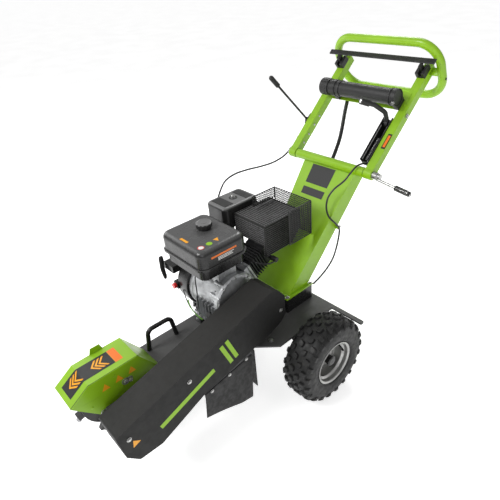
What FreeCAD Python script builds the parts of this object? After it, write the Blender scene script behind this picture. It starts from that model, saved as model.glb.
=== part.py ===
"""Walk-behind stump grinder, a parametric assembly of separate parts, in millimetres.

+Z is up, -Y points to the cutter and +X to the operator's left. The origin lies on the ground
midway between the two wheels, straight below the axle.
"""
import FreeCAD, Part
import math
import os
import re

import Sketcher
from FreeCAD import Placement, Rotation, Vector

SIZES = {
    # wheels and axle
    "wheel_radius": 203, "track_half": 335, "tyre_half": 76, "rim_radius": 104, "rim_half": 68,
    "axle_radius": 12.5, "hub_radius": 21, "hub_flange_radius": 46, "lug_circle": 34, "running_gap": 0.05,
    # deck
    "deck_top": 328, "deck_plate": 8, "deck_half": 244, "deck_far": 201, "deck_near": 58,
    "deck_front": 612, "deck_rear": 190, "ear_half": 412, "wheel_gap": 8, "bracket_x": 205,
    # cutter head
    "cutter_y": 795, "cutter_z": 280, "cutter_tip": 165, "disc_radius": 128, "disc_plate": 16,
    "disc_x": -104, "shaft_radius": 15, "teeth": 8, "rail_plate": 12, "rail_far": -200, "rail_near": -19,
    "hood_far": -178, "hood_near": -29, "hood_sheet": 3, "hood_top": 452, "hood_lip": 396,
    # engine
    "crank_y": 205, "crank_z": 495, "engine_base": 362, "crank_radius": 12.7, "engine_face": 38,
    "case_far": -175, "fan_radius": 128, "tank_flange": 688, "tank_far": -290, "tank_near": 14,
    "tank_front": 358, "tank_rear": 102, "tank_top": 772, "tank_bottom": 636,
    "cap_x": -155, "cap_y": -205, "cap_radius": 36, "filter_far": -325, "filter_near": -184.4,
    "filter_front": -70, "filter_rear": 135, "filter_bottom": 690, "filter_top": 792,
    "cage_far": -182, "cage_near": 22, "cage_front": -22, "cage_rear": 200, "cage_top": 762,
    "cage_bottom": 608, "mesh_far": -142, "mesh_near": 88, "mesh_bottom": 658, "mesh_top": 824,
    "mesh_front": 60,
    # belt drive
    "guard_inner": 61, "guard_outer": 190, "guard_sheet": 2, "pulley_x": 95, "pulley_width": 40,
    "drive_radius": 54, "driven_radius": 62, "belt_width": 11, "belt_depth": 9, "belt_gap": 0.4,
    # column and handle
    "riser_half": 119, "riser_front": 0, "riser_rear": 168, "riser_top": 404, "flange_plate": 8,
    "column_foot": 108, "column_head": 152, "column_sheet": 3, "pivot_y": 430, "pivot_z": 905,
    "pivot_radius": 22, "pin_radius": 12, "pivot_half": 198, "arm_square": 40, "arm_x": 222,
    "arm_length": 556, "arm_angle": 42, "arm_sheet": 3, "loop_radius": 19, "loop_half": 278,
    "loop_y": 844, "loop_z": 1258, "loop_rise": 132, "loop_lean": 25.5, "loop_bend": 104,
    "tube_radius": 34, "tube_far": -190, "tube_near": 205,
    "tube_along": 333, "tube_rise": 22, "presence_along": 502, "throttle_along": 180, "brake_along": 244,
}

doc = FreeCAD.newDocument("stump_grinder")
sheet = doc.addObject("Spreadsheet::Sheet", "Sizes")
for row, (alias, value) in enumerate(SIZES.items(), start=1):
    sheet.set("A%d" % row, alias)
    sheet.set("B%d" % row, str(value))
    sheet.setAlias("B%d" % row, alias)
doc.recompute()

NODES = []


def bind(expression):
    """The expression with every driving size read from the sheet."""
    return re.sub(r"[a-z]\w*", lambda m: "Sizes." + m.group(0) if m.group(0) in SIZES else m.group(0),
                  str(expression))


def number(expression):
    """The value that an expression in driving sizes has now."""
    return float(sheet.evalExpression(bind(expression)))


def node(item, label):
    """Names an object as one piece of the machine."""
    item.Label = label
    NODES.append(item)
    return item


def drive(item, **sizes):
    """Binds the object's properties to expressions."""
    for name, expression in sizes.items():
        item.setExpression(name.replace("__", "."), bind(expression))
    return item


def at(item, x=0, y=0, z=0, axis=None, angle=0):
    """Sets the object's place, bound to the sheet."""
    if axis is not None:
        item.Placement = Placement(Vector(0, 0, 0), Rotation(Vector(*axis), number(angle)))
    return drive(item, Placement__Base__x=x, Placement__Base__y=y, Placement__Base__z=z)


# ---- building blocks -------------------------------------------------------------------------

def origin_plane(body, role):
    return next(f for f in body.Origin.OriginFeatures if f.Role == role)


def new_sketch(body, role="YZ_Plane", start=0):
    sketch = body.newObject("Sketcher::SketchObject", "Outline")
    sketch.AttachmentSupport = [(origin_plane(body, role), "")]
    sketch.MapMode = "FlatFace"
    sketch.setExpression("AttachmentOffset.Base.z", bind(start))
    return sketch


def draw_polygon(sketch, points):
    """A closed outline whose corners are bound to the sheet."""
    first = sketch.GeometryCount
    corners = [Vector(number(a), number(b), 0) for a, b in points]
    count = len(corners)
    for i in range(count):
        sketch.addGeometry(Part.LineSegment(corners[i], corners[(i + 1) % count]))
    for i in range(count):
        sketch.addConstraint(Sketcher.Constraint("Coincident", first + i, 2, first + (i + 1) % count, 1))
    for i, pair in enumerate(points):
        for kind, expression in zip(("DistanceX", "DistanceY"), pair):
            made = sketch.addConstraint(Sketcher.Constraint(kind, first + i, 1, number(expression)))
            sketch.setExpression("Constraints[%d]" % made, bind(expression))


def draw_circle(sketch, a, b, radius):
    made = sketch.addGeometry(Part.Circle(Vector(number(a), number(b), 0), Vector(0, 0, 1), number(radius)))
    for kind, expression in (("DistanceX", a), ("DistanceY", b)):
        held = sketch.addConstraint(Sketcher.Constraint(kind, made, 3, number(expression)))
        sketch.setExpression("Constraints[%d]" % held, bind(expression))
    held = sketch.addConstraint(Sketcher.Constraint("Radius", made, number(radius)))
    sketch.setExpression("Constraints[%d]" % held, bind(radius))


def pad(label, points, length, role="YZ_Plane", start=0, holes=(), keep=True):
    """A plate or block: an outline with round holes, pushed out from its plane."""
    body = doc.addObject("PartDesign::Body", label)
    sketch = new_sketch(body, role, start)
    draw_polygon(sketch, points)
    for a, b, radius in holes:
        draw_circle(sketch, a, b, radius)
    push = body.newObject("PartDesign::Pad", "Pad")
    push.Profile = sketch
    drive(push, Length=length)
    doc.recompute()
    return node(body, label) if keep else body


def turned(label, points, keep=True):
    """A turned piece: an outline of (along X, radius) points, spun about its own X axis."""
    body = doc.addObject("PartDesign::Body", label)
    sketch = new_sketch(body, "XY_Plane")
    draw_polygon(sketch, points)
    spin = body.newObject("PartDesign::Revolution", "Revolution")
    spin.Profile = sketch
    spin.ReferenceAxis = (sketch, ["H_Axis"])
    spin.Angle = 360
    doc.recompute()
    return node(body, label) if keep else body


def round_edges(body, radius, wanted):
    """Rounds the edges of the body's last shape that the test picks."""
    base = body.Tip
    names = ["Edge%d" % i for i, edge in enumerate(base.Shape.Edges, start=1) if wanted(edge)]
    fillet = body.newObject("PartDesign::Fillet", "Fillet")
    fillet.Base = (base, names)
    fillet.Radius = number(radius)
    doc.recompute()


def runs_along(edge, axis):
    if len(edge.Vertexes) < 2:
        return False
    step = (edge.Vertexes[1].Point - edge.Vertexes[0].Point)
    return step.Length > 0 and abs(abs(step.normalize().dot(Vector(*axis))) - 1) < 1e-6


def hollow(body, wall, open_faces):
    """Leaves a wall inside the body's outline, open at the faces that the test picks."""
    base = body.Tip
    names = ["Face%d" % i for i, face in enumerate(base.Shape.Faces, start=1) if open_faces(face)]
    shell = body.newObject("PartDesign::Thickness", "Thickness")
    shell.Base = (base, names)
    shell.Reversed = True
    drive(shell, Value=wall)
    doc.recompute()


def block(label, x, y, z):
    """A box between two places on each axis."""
    item = doc.addObject("Part::Box", label)
    drive(item, Length="(%s) - (%s)" % (x[1], x[0]), Width="(%s) - (%s)" % (y[1], y[0]),
          Height="(%s) - (%s)" % (z[1], z[0]))
    return at(item, x[0], y[0], z[0])


def rod(label, radius, length, x=0, y=0, z=0, along="X"):
    """A round bar that starts at a place and runs along an axis."""
    item = doc.addObject("Part::Cylinder", label)
    drive(item, Radius=radius, Height=length)
    turn = {"X": ((0, 1, 0), 90), "Y": ((1, 0, 0), -90), "Z": (None, 0)}[along]
    return at(item, x, y, z, turn[0], turn[1])


def cut(label, base, tool, keep=False):
    item = doc.addObject("Part::Cut", label)
    item.Base = base
    item.Tool = tool
    doc.recompute()
    return node(item, label) if keep else item


def fuse(label, items, keep=False):
    item = doc.addObject("Part::MultiFuse", label)
    item.Shapes = items
    doc.recompute()
    return node(item, label) if keep else item


def group(label, items):
    """Identical pieces that share one node as separate solids."""
    item = doc.addObject("Part::Compound", label)
    item.Links = items
    doc.recompute()
    return node(item, label)


def shaped(label, shape, keep=True):
    """A piece whose shape no primitive or sketch gives, such as a bent tube."""
    item = doc.addObject("Part::Feature", label)
    item.Shape = shape
    return node(item, label) if keep else item


def bent_wire(points, bend=None):
    """Straight runs joined by tangent arcs. Without a given bend each arc is as large as its runs allow."""
    points = [Vector(*p) for p in points]
    edges, start, radii = [], points[0], []
    for before, corner, after in zip(points, points[1:], points[2:]):
        into, away = (corner - before), (after - corner)
        half = into.getAngle(away) / 2
        reach = 0.45 * min(into.Length, away.Length)
        radius = reach / math.tan(half) if bend is None else bend
        reach = radius * math.tan(half)
        first = corner - Vector(into).normalize() * reach
        last = corner + Vector(away).normalize() * reach
        middle_way = (Vector(away).normalize() - Vector(into).normalize()).normalize()
        middle = corner + middle_way * (radius / math.cos(half) - radius)
        edges.append(Part.LineSegment(start, first).toShape())
        edges.append(Part.Arc(first, middle, last).toShape())
        start = last
        radii.append(radius)
    edges.append(Part.LineSegment(start, points[-1]).toShape())
    return Part.Wire(edges), radii


def bent_tube(label, points, radius, bend=None, keep=True):
    """A round bar or cord along straight runs and tangent arcs."""
    wire, radii = bent_wire(points, bend)
    way = Vector(*points[1]) - Vector(*points[0])
    ring = Part.Wire([Part.makeCircle(radius, Vector(*points[0]), way)])
    shape = wire.makePipeShell([ring], True, False)
    error = abs(shape.Volume / (math.pi * radius ** 2 * wire.Length) - 1)
    print("%s: bend radii %s, volume error %.5f" % (label, [round(r) for r in radii], error))
    return shaped(label, shape, keep)


# ---- places that several pieces share ----------------------------------------------------------

ARM = math.radians(number("arm_angle"))
PIVOT = Vector(0, number("pivot_y"), number("pivot_z"))


def on_handle(x, along, above):
    """A place given by its distances along the arms and above their middle line."""
    return Vector(x, PIVOT.y + along * math.cos(ARM) - above * math.sin(ARM),
                  PIVOT.z + along * math.sin(ARM) + above * math.cos(ARM))


def lay_on_handle(item):
    """Turns a piece drawn level, with the pivot as its origin, to the slope of the arms."""
    base = item.Placement.Base
    place = Placement(Vector(PIVOT), Rotation(Vector(1, 0, 0), number("arm_angle")))
    item.Placement = place.multiply(Placement(Vector(base), item.Placement.Rotation))
    return item


# ---- deck ----------------------------------------------------------------------------------------

EAR_FRONT = "sqrt(wheel_radius^2 - (deck_top - wheel_radius)^2) + wheel_gap"
SIDE_FRONT = "-(deck_half - 69)"


def build_deck():
    outline = [
        ("-ear_half", "deck_rear"), ("-ear_half", EAR_FRONT), ("-deck_half", EAR_FRONT),
        ("-deck_half", SIDE_FRONT), ("-deck_far", "%s - (deck_half - deck_far)" % SIDE_FRONT),
        ("-deck_far", "-deck_front"), ("deck_near", "-deck_front"),
        ("deck_near", "%s - (deck_half - deck_near)" % SIDE_FRONT), ("deck_half", SIDE_FRONT),
        ("deck_half", EAR_FRONT), ("ear_half", EAR_FRONT), ("ear_half", "deck_rear")]
    tow_holes = [("-60", "deck_rear - 12", 6), ("60", "deck_rear - 12", 6)]
    body = pad("deck_sheet", outline, "deck_plate", "XY_Plane", "deck_top - deck_plate", tow_holes, keep=False)
    round_edges(body, 8, lambda e: runs_along(e, (0, 0, 1)) and abs(e.Vertexes[0].X) > number("ear_half") - 1)

    brackets = [body]
    for side, start in (("left", "bracket_x"), ("right", "-bracket_x - 12")):
        outline = [("-45", "deck_top - deck_plate"), ("-28", "wheel_radius - 24"), ("28", "wheel_radius - 24"),
                   ("45", "deck_top - deck_plate")]
        brackets.append(pad("axle_bracket_" + side, outline, 12, "YZ_Plane", start,
                            [(0, "wheel_radius", "axle_radius + running_gap")], keep=False))
    fuse("deck_plate", brackets, keep=True)


def build_wheels():
    axle = rod("axle", "axle_radius", "2*track_half + 84", "-track_half - 42", 0, "wheel_radius")
    node(axle, "axle")
    rim_outline = [
        ("rim_half", "rim_radius"), ("rim_half - 4", "rim_radius"), ("rim_half - 7", "rim_radius - 7"),
        ("rim_half - 23", "rim_radius - 9"), ("rim_half - 30", "rim_radius - 20"),
        ("-rim_half + 30", "rim_radius - 20"), ("-rim_half + 23", "rim_radius - 9"),
        ("-rim_half + 7", "rim_radius - 7"), ("-rim_half + 4", "rim_radius"), ("-rim_half", "rim_radius"),
        ("-rim_half", "rim_radius - 4"), ("-rim_half + 4", "rim_radius - 10"),
        ("-rim_half + 21", "rim_radius - 12"), ("-rim_half + 28", "rim_radius - 23"),
        ("-4", "rim_radius - 23"), ("-4", "hub_radius + 0.3"), ("0", "hub_radius + 0.3"),
        ("0", "rim_radius - 23"), ("rim_half - 28", "rim_radius - 23"), ("rim_half - 21", "rim_radius - 12"),
        ("rim_half - 4", "rim_radius - 10"), ("rim_half", "rim_radius - 4")]
    bead = "rim_radius - 6.7"
    tyre_outline = [
        ("rim_half - 8", bead), ("rim_half - 5", "rim_radius + 0.4"), ("rim_half + 2", "rim_radius + 8"), ("tyre_half", "wheel_radius - 55"),
        ("tyre_half - 2", "wheel_radius - 20"), ("tyre_half - 16", "wheel_radius - 5"),
        ("tyre_half/2", "wheel_radius"), ("-tyre_half/2", "wheel_radius"),
        ("-tyre_half + 16", "wheel_radius - 5"), ("-tyre_half + 2", "wheel_radius - 20"),
        ("-tyre_half", "wheel_radius - 55"), ("-rim_half - 2", "rim_radius + 8"), ("-rim_half + 5", "rim_radius + 0.4"), ("-rim_half + 8", bead),
        ("-rim_half + 20", bead), ("-tyre_half + 12", "wheel_radius - 55"),
        ("-tyre_half + 22", "wheel_radius - 18"), ("tyre_half - 22", "wheel_radius - 18"),
        ("tyre_half - 12", "wheel_radius - 55"), ("rim_half - 20", bead)]
    bore = "axle_radius + running_gap"
    hub_outline = [
        ("-60", bore), ("-60", "hub_radius"), ("-10", "hub_radius"), ("-10", "hub_flange_radius"),
        ("-4.2", "hub_flange_radius"), ("-4.2", "hub_radius"), ("40", "hub_radius"), ("44", "hub_radius + 4"),
        ("50", "hub_radius + 4"), ("54", "hub_radius - 3"), ("54", "0"), ("44", "0"), ("44", bore)]
    for side, sign, angle in (("left", "", 0), ("right", "-", 180)):
        place = dict(x="%strack_half" % sign, y=0, z="wheel_radius", axis=(0, 0, 1), angle=angle)
        rim = turned(side + "_rim", rim_outline)
        sketch = new_sketch(rim, "YZ_Plane", 5)
        for turn in range(4):
            swing = math.radians(45 + 90 * turn)
            draw_circle(sketch, 60 * math.cos(swing), 60 * math.sin(swing), 12)
            swing = math.radians(90 * turn)
            draw_circle(sketch, "lug_circle*%.6f" % math.cos(swing), "lug_circle*%.6f" % math.sin(swing), 5.4)
        pocket = rim.newObject("PartDesign::Pocket", "Holes")
        pocket.Profile = sketch
        pocket.Length = 12
        doc.recompute()
        at(rim, **place)
        at(turned(side + "_tyre", tyre_outline), **place)
        hub = turned(side + "_hub_body", hub_outline, keep=False)
        studs = [hub]
        for turn in range(4):
            swing = math.radians(90 * turn)
            y, z = ("lug_circle*%.6f" % math.cos(swing)), ("lug_circle*%.6f" % math.sin(swing))
            studs.append(rod(side + "_stud%d" % turn, 5, 17, -6, y, z))
            studs.append(rod(side + "_nut%d" % turn, 9, 8, 0.2, y, z))
        at(fuse(side + "_hub", studs, keep=True), **place)


# ---- cutter head ---------------------------------------------------------------------------------

def build_hood():
    front, rear = "-cutter_y - 170", "-deck_front"
    outline = [
        (front, "hood_lip"), ("-cutter_y - 87", "hood_top"), ("-cutter_y + 118", "hood_top + 3"),
        ("%s + 18" % rear, "deck_top"), (rear, "deck_top"), (rear, "deck_top - 60"),
        ("-cutter_y + 60", "cutter_z - 38"), ("-cutter_y - 69", "cutter_z - 34"), ("-cutter_y - 76", "cutter_z + 3")]
    shaft_hole = [("-cutter_y", "cutter_z", "shaft_radius + 4")]
    sides = [pad("hood_side", outline, "hood_sheet", "YZ_Plane", start, shaft_hole, keep=False)
             for start in ("hood_far", "hood_near - hood_sheet")]
    folded = outline[:4] + [
        ("%s + 18 - 1.2*hood_sheet" % rear, "deck_top"), ("-cutter_y + 118 - 0.8*hood_sheet", "hood_top + 3 - hood_sheet"),
        ("-cutter_y - 87 + 0.5*hood_sheet", "hood_top - hood_sheet"), ("%s + 1.8*hood_sheet" % front, "hood_lip")]
    top = pad("hood_folded", folded, "hood_near - hood_far - 2", "YZ_Plane", "hood_far + 1", keep=False)
    tab = pad("hood_tab", [("-cutter_y - 20", "hood_top - 20"), ("-cutter_y - 4", "hood_top + 28"),
                           ("-cutter_y + 34", "hood_top + 28"), ("-cutter_y + 50", "hood_top - 20")],
              "hood_sheet", "YZ_Plane", "hood_far + 1", keep=False)
    fuse("cutter_hood", sides + [top, tab], keep=True)

    rails = []
    for side, start in (("near", "rail_near"), ("far", "rail_far")):
        outline = [("-cutter_y - 60", "cutter_z - 40"), ("-cutter_y - 60", "cutter_z + 40"),
                   ("-deck_front - 40", "deck_top - deck_plate"), ("-deck_front + 150", "deck_top - deck_plate"),
                   ("-deck_front + 150", "deck_top - deck_plate - 30"), ("-cutter_y + 60", "cutter_z - 40")]
        rails.append(pad("rail_" + side, outline, "rail_plate", "YZ_Plane", start,
                         [("-cutter_y", "cutter_z", "shaft_radius + 3")], keep=False))
    group("cutter_rails", rails)


def flange_bearing(label, start, length, flange_start):
    """A round bearing housing with a flange against its rail and the shaft's bore."""
    ring = rod(label + "_ring", 36, length, start, "-cutter_y", "cutter_z")
    flange = block(label + "_flange", (flange_start, "%s + 8" % flange_start), ("-cutter_y - 46", "-cutter_y + 46"),
                   ("cutter_z - 30", "cutter_z + 30"))
    bore = rod(label + "_bore", "shaft_radius + running_gap", "%s + 4" % length, "%s - 2" % start,
               "-cutter_y", "cutter_z")
    return cut(label, fuse(label + "_solid", [ring, flange]), bore)


def build_cutter():
    node(rod("cutter_shaft", "shaft_radius", "pulley_x + pulley_width + 16 - (rail_far - 26)", "rail_far - 26",
             "-cutter_y", "cutter_z"), "cutter_shaft")
    near = flange_bearing("bearing_near", "rail_near + rail_plate", 26, "rail_near + rail_plate")
    far = flange_bearing("bearing_far", "rail_far - 24", 24, "rail_far - 8")
    group("cutter_bearings", [near, far])

    disc = doc.addObject("PartDesign::Body", "cutter_disc")
    sketch = new_sketch(disc, "YZ_Plane", "-disc_plate/2")
    draw_circle(sketch, 0, 0, "disc_radius")
    draw_circle(sketch, 0, 0, "shaft_radius + running_gap")
    plate = disc.newObject("PartDesign::Pad", "Plate")
    plate.Profile = sketch
    drive(plate, Length="disc_plate")
    doc.recompute()
    sketch = new_sketch(disc, "YZ_Plane", "disc_plate/2 - 0.5")
    draw_circle(sketch, 0, 0, "shaft_radius + 24")
    draw_circle(sketch, 0, 0, "shaft_radius + running_gap")
    boss = disc.newObject("PartDesign::Pad", "Boss")
    boss.Profile = sketch
    boss.Length = 18
    doc.recompute()
    sketch = new_sketch(disc, "YZ_Plane", "disc_plate/2 + 1")
    draw_circle(sketch, 0, 78, 14)
    window = disc.newObject("PartDesign::Pocket", "Window")
    window.Profile = sketch
    drive(window, Length="disc_plate + 2")
    doc.recompute()
    pattern = disc.newObject("PartDesign::PolarPattern", "Windows")
    pattern.Originals = [window]
    pattern.Axis = (next(f for f in disc.Origin.OriginFeatures if f.Role == "X_Axis"), [""])
    pattern.Angle = 360
    pattern.Occurrences = 4
    disc.Tip = pattern
    doc.recompute()
    at(node(disc, "cutter_disc"), "disc_x", "-cutter_y", "cutter_z")

    holders, tips = [], []
    count = int(number("teeth"))
    for i in range(count):
        side = 1 if i % 2 else -1
        turn = Rotation(Vector(1, 0, 0), 360.0 * i / count + 12)
        spot = Vector(number("disc_x"), -number("cutter_y"), number("cutter_z"))
        inner = number("disc_radius") - 34
        outer = number("cutter_tip")
        half = number("disc_plate") / 2
        low, high = (half, half + 22) if side > 0 else (-half - 22, -half)
        holder = Part.makeBox(high - low, 30, outer - 14 - inner, Vector(low, -15, inner))
        bolt = Part.makeCylinder(8, 8, Vector(high if side > 0 else low - 8, 0, inner + 18), Vector(1, 0, 0))
        holder = holder.fuse(bolt)
        tip = Part.makeCylinder(9, 12, Vector((low + high) / 2 - 0.0, -22.0, outer - 13), Vector(0, 1, 0))
        tip = tip.fuse(Part.makeBox(10, 12, 14, Vector((low + high) / 2 - 5, -22, outer - 26)))
        tip = tip.common(Part.makeCylinder(outer, high - low, Vector(low, 0, 0), Vector(1, 0, 0)))
        tip = tip.cut(holder)
        for shape, store, name in ((holder, holders, "holder%d" % i), (tip, tips, "tip%d" % i)):
            shape = shape.copy()
            shape.Placement = Placement(spot, turn)
            store.append(shaped(name, shape, keep=False))
    group("tooth_holders", holders)
    group("carbide_teeth", tips)


# ---- belt drive ----------------------------------------------------------------------------------

FRAME_BOLTS = []

GUARD_OUTLINE = [
    ("-cutter_y - 112", "cutter_z + 102"), ("-cutter_y - 98", "cutter_z - 16"),
    ("-cutter_y - 55", "cutter_z - 72"), ("-cutter_y + 40", "cutter_z - 75"),
    ("-cutter_y + 246", "deck_top - 36"), ("-crank_y - 58", "deck_top + 24"),
    ("-crank_y + 22", "deck_top + 37"), ("-crank_y + 94", "crank_z - 103"),
    ("-crank_y + 122", "crank_z - 74"), ("-crank_y + 122", "crank_z + 24"),
    ("-crank_y + 90", "crank_z + 66"), ("-crank_y + 55", "crank_z + 85")]


def pulley(label, outer):
    """A two-groove pulley, drawn along X from its inner face."""
    inner = "%s - belt_depth - 2*belt_gap" % outer
    middle = "pulley_width/2"
    groove = "belt_width/2 + belt_gap"
    centres = ["%s - 10" % middle, "%s + 10" % middle]
    outline = [("0", "0"), ("0", outer)]
    for centre in centres:
        outline += [("%s - (%s)" % (centre, groove), outer), ("%s - (%s)" % (centre, groove), inner),
                    ("%s + %s" % (centre, groove), inner), ("%s + %s" % (centre, groove), outer)]
    outline += [("pulley_width", outer), ("pulley_width", "0")]
    return turned(label + "_blank", outline, keep=False)


def belt_loop(grow, x, width):
    """The solid inside a belt's line, grown or shrunk from the pulleys' outer radii."""
    crank = (-number("crank_y"), number("crank_z"), number("drive_radius") + grow)
    cutter = (-number("cutter_y"), number("cutter_z"), number("driven_radius") + grow)
    reach = math.hypot(crank[0] - cutter[0], crank[1] - cutter[1])
    slope = math.atan2(crank[1] - cutter[1], crank[0] - cutter[0])
    lean = math.asin((cutter[2] - crank[2]) / reach)

    def point(wheel, angle):
        return Vector(x, wheel[0] + wheel[2] * math.cos(angle), wheel[1] + wheel[2] * math.sin(angle))
    top, bottom = slope + math.pi / 2 - lean, slope - math.pi / 2 + lean
    edges = [
        Part.LineSegment(point(cutter, top), point(crank, top)).toShape(),
        Part.Arc(point(crank, top), point(crank, slope), point(crank, bottom)).toShape(),
        Part.LineSegment(point(crank, bottom), point(cutter, bottom)).toShape(),
        Part.Arc(point(cutter, bottom), point(cutter, slope + math.pi), point(cutter, top)).toShape()]
    return Part.Face(Part.Wire(edges)).extrude(Vector(width, 0, 0))


def build_belt_drive():
    for label, outer, bore, y, z in (
            ("driven_pulley", "driven_radius", "shaft_radius", "-cutter_y", "cutter_z"),
            ("drive_pulley", "drive_radius", "crank_radius", "-crank_y", "crank_z")):
        blank = pulley(label, outer)
        pieces = [blank]
        if label == "drive_pulley":
            pieces.append(rod("clutch_drum", "drive_radius - 4", 27, -26, 0, 0))
        solid = fuse(label + "_solid", pieces) if len(pieces) > 1 else blank
        hole = rod(label + "_bore", "%s + running_gap" % bore, "pulley_width + 40", -30, 0, 0)
        at(cut(label, solid, hole, keep=True), "pulley_x", y, z)

    belts = []
    width = number("belt_width")
    for shift in (-10, 10):
        x = number("pulley_x + pulley_width/2") + shift - width / 2
        loop = belt_loop(0, x, width).cut(belt_loop(-number("belt_depth"), x, width))
        belts.append(shaped("belt%d" % shift, loop, keep=False))
    group("drive_belts", belts)

    cover = pad("belt_guard", GUARD_OUTLINE, "guard_outer - guard_inner", "YZ_Plane", "guard_inner")
    round_edges(cover, 14, lambda e: runs_along(e, (1, 0, 0)))
    inner_face = number("guard_inner")
    hollow(cover, "guard_sheet", lambda f: abs(f.CenterOfMass.x - inner_face) < 1e-3)
    pad("belt_guard_back", GUARD_OUTLINE, 3, "YZ_Plane", "guard_inner - 3",
        [("-cutter_y", "cutter_z", "shaft_radius + 6"), ("-crank_y", "crank_z", 60)])
    round_edges(NODES[-1], 14, lambda e: runs_along(e, (1, 0, 0)) and len(e.Vertexes) == 2)


# ---- flaps, bow ------------------------------------------------------------------------------------

def guard_floor(y):
    """Height of the belt guard's underside beside the deck's front."""
    low_y, low_z = number("-cutter_y + 246"), number("deck_top - 36")
    high_y, high_z = number("-crank_y - 58"), number("deck_top + 24")
    return low_z + (y - low_y) * (high_z - low_z) / (high_y - low_y)


def build_flaps():
    front, rear = number("-cutter_y + 255"), number("-crank_y - 85")
    outer = number("guard_outer")
    strip = pad("side_strip", [(front, guard_floor(front)), (rear, guard_floor(rear)),
                               (rear, guard_floor(rear) - 28), (front, guard_floor(front) - 28)],
                4, "YZ_Plane", outer - 8, keep=False)
    flap = pad("side_rubber", [(front, guard_floor(front) - 4), (rear, guard_floor(rear) - 4),
                               (rear - 12, 66), (front - 8, 146)], 4, "YZ_Plane", outer - 4, keep=False)
    under = number("deck_top - deck_plate")
    rear_flap = block("rear_rubber", ("-deck_far + 12", 170), (-262, -258), (92, under - 4))
    rear_strip = block("rear_strip", ("-deck_far + 16", 160), (-258, -254), (under - 26, under))
    group("rubber_flaps", [flap, rear_flap])
    group("flap_strips", [strip, rear_strip])

    bolts = []
    for i in range(3):
        y = front + 32 + i * (rear - front - 64) / 2
        bolts.append(rod("flap_bolt%d" % i, 6, 4, outer, y, guard_floor(y) - 17))
    for i in range(3):
        bolts.append(rod("rear_flap_bolt%d" % i, 6, 4, -150 + 140 * i, -266, under - 15, "Y"))
    for y, z in (("-cutter_y - 70", "cutter_z + 60"), ("-cutter_y + 200", "cutter_z + 130"),
                 ("-crank_y + 95", "crank_z - 40")):
        bolts.append(rod("cover_bolt", 7, 6, "guard_outer", y, z))
    FRAME_BOLTS.extend(bolts)

    x, top = -155, number("deck_top")
    front, rear = number("-deck_front + 34"), number("-deck_front + 175")
    bow = bent_tube("lift_bow_bar", [(x, front, top - 4), (x, front + 14, top + 102),
                                     (x, rear - 14, top + 102), (x, rear, top - 4)], 10, 26, keep=False)
    shaped("lift_bow", bow.Shape.cut(doc.getObject("deck_plate").Shape))


# ---- engine ----------------------------------------------------------------------------------------

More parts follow.
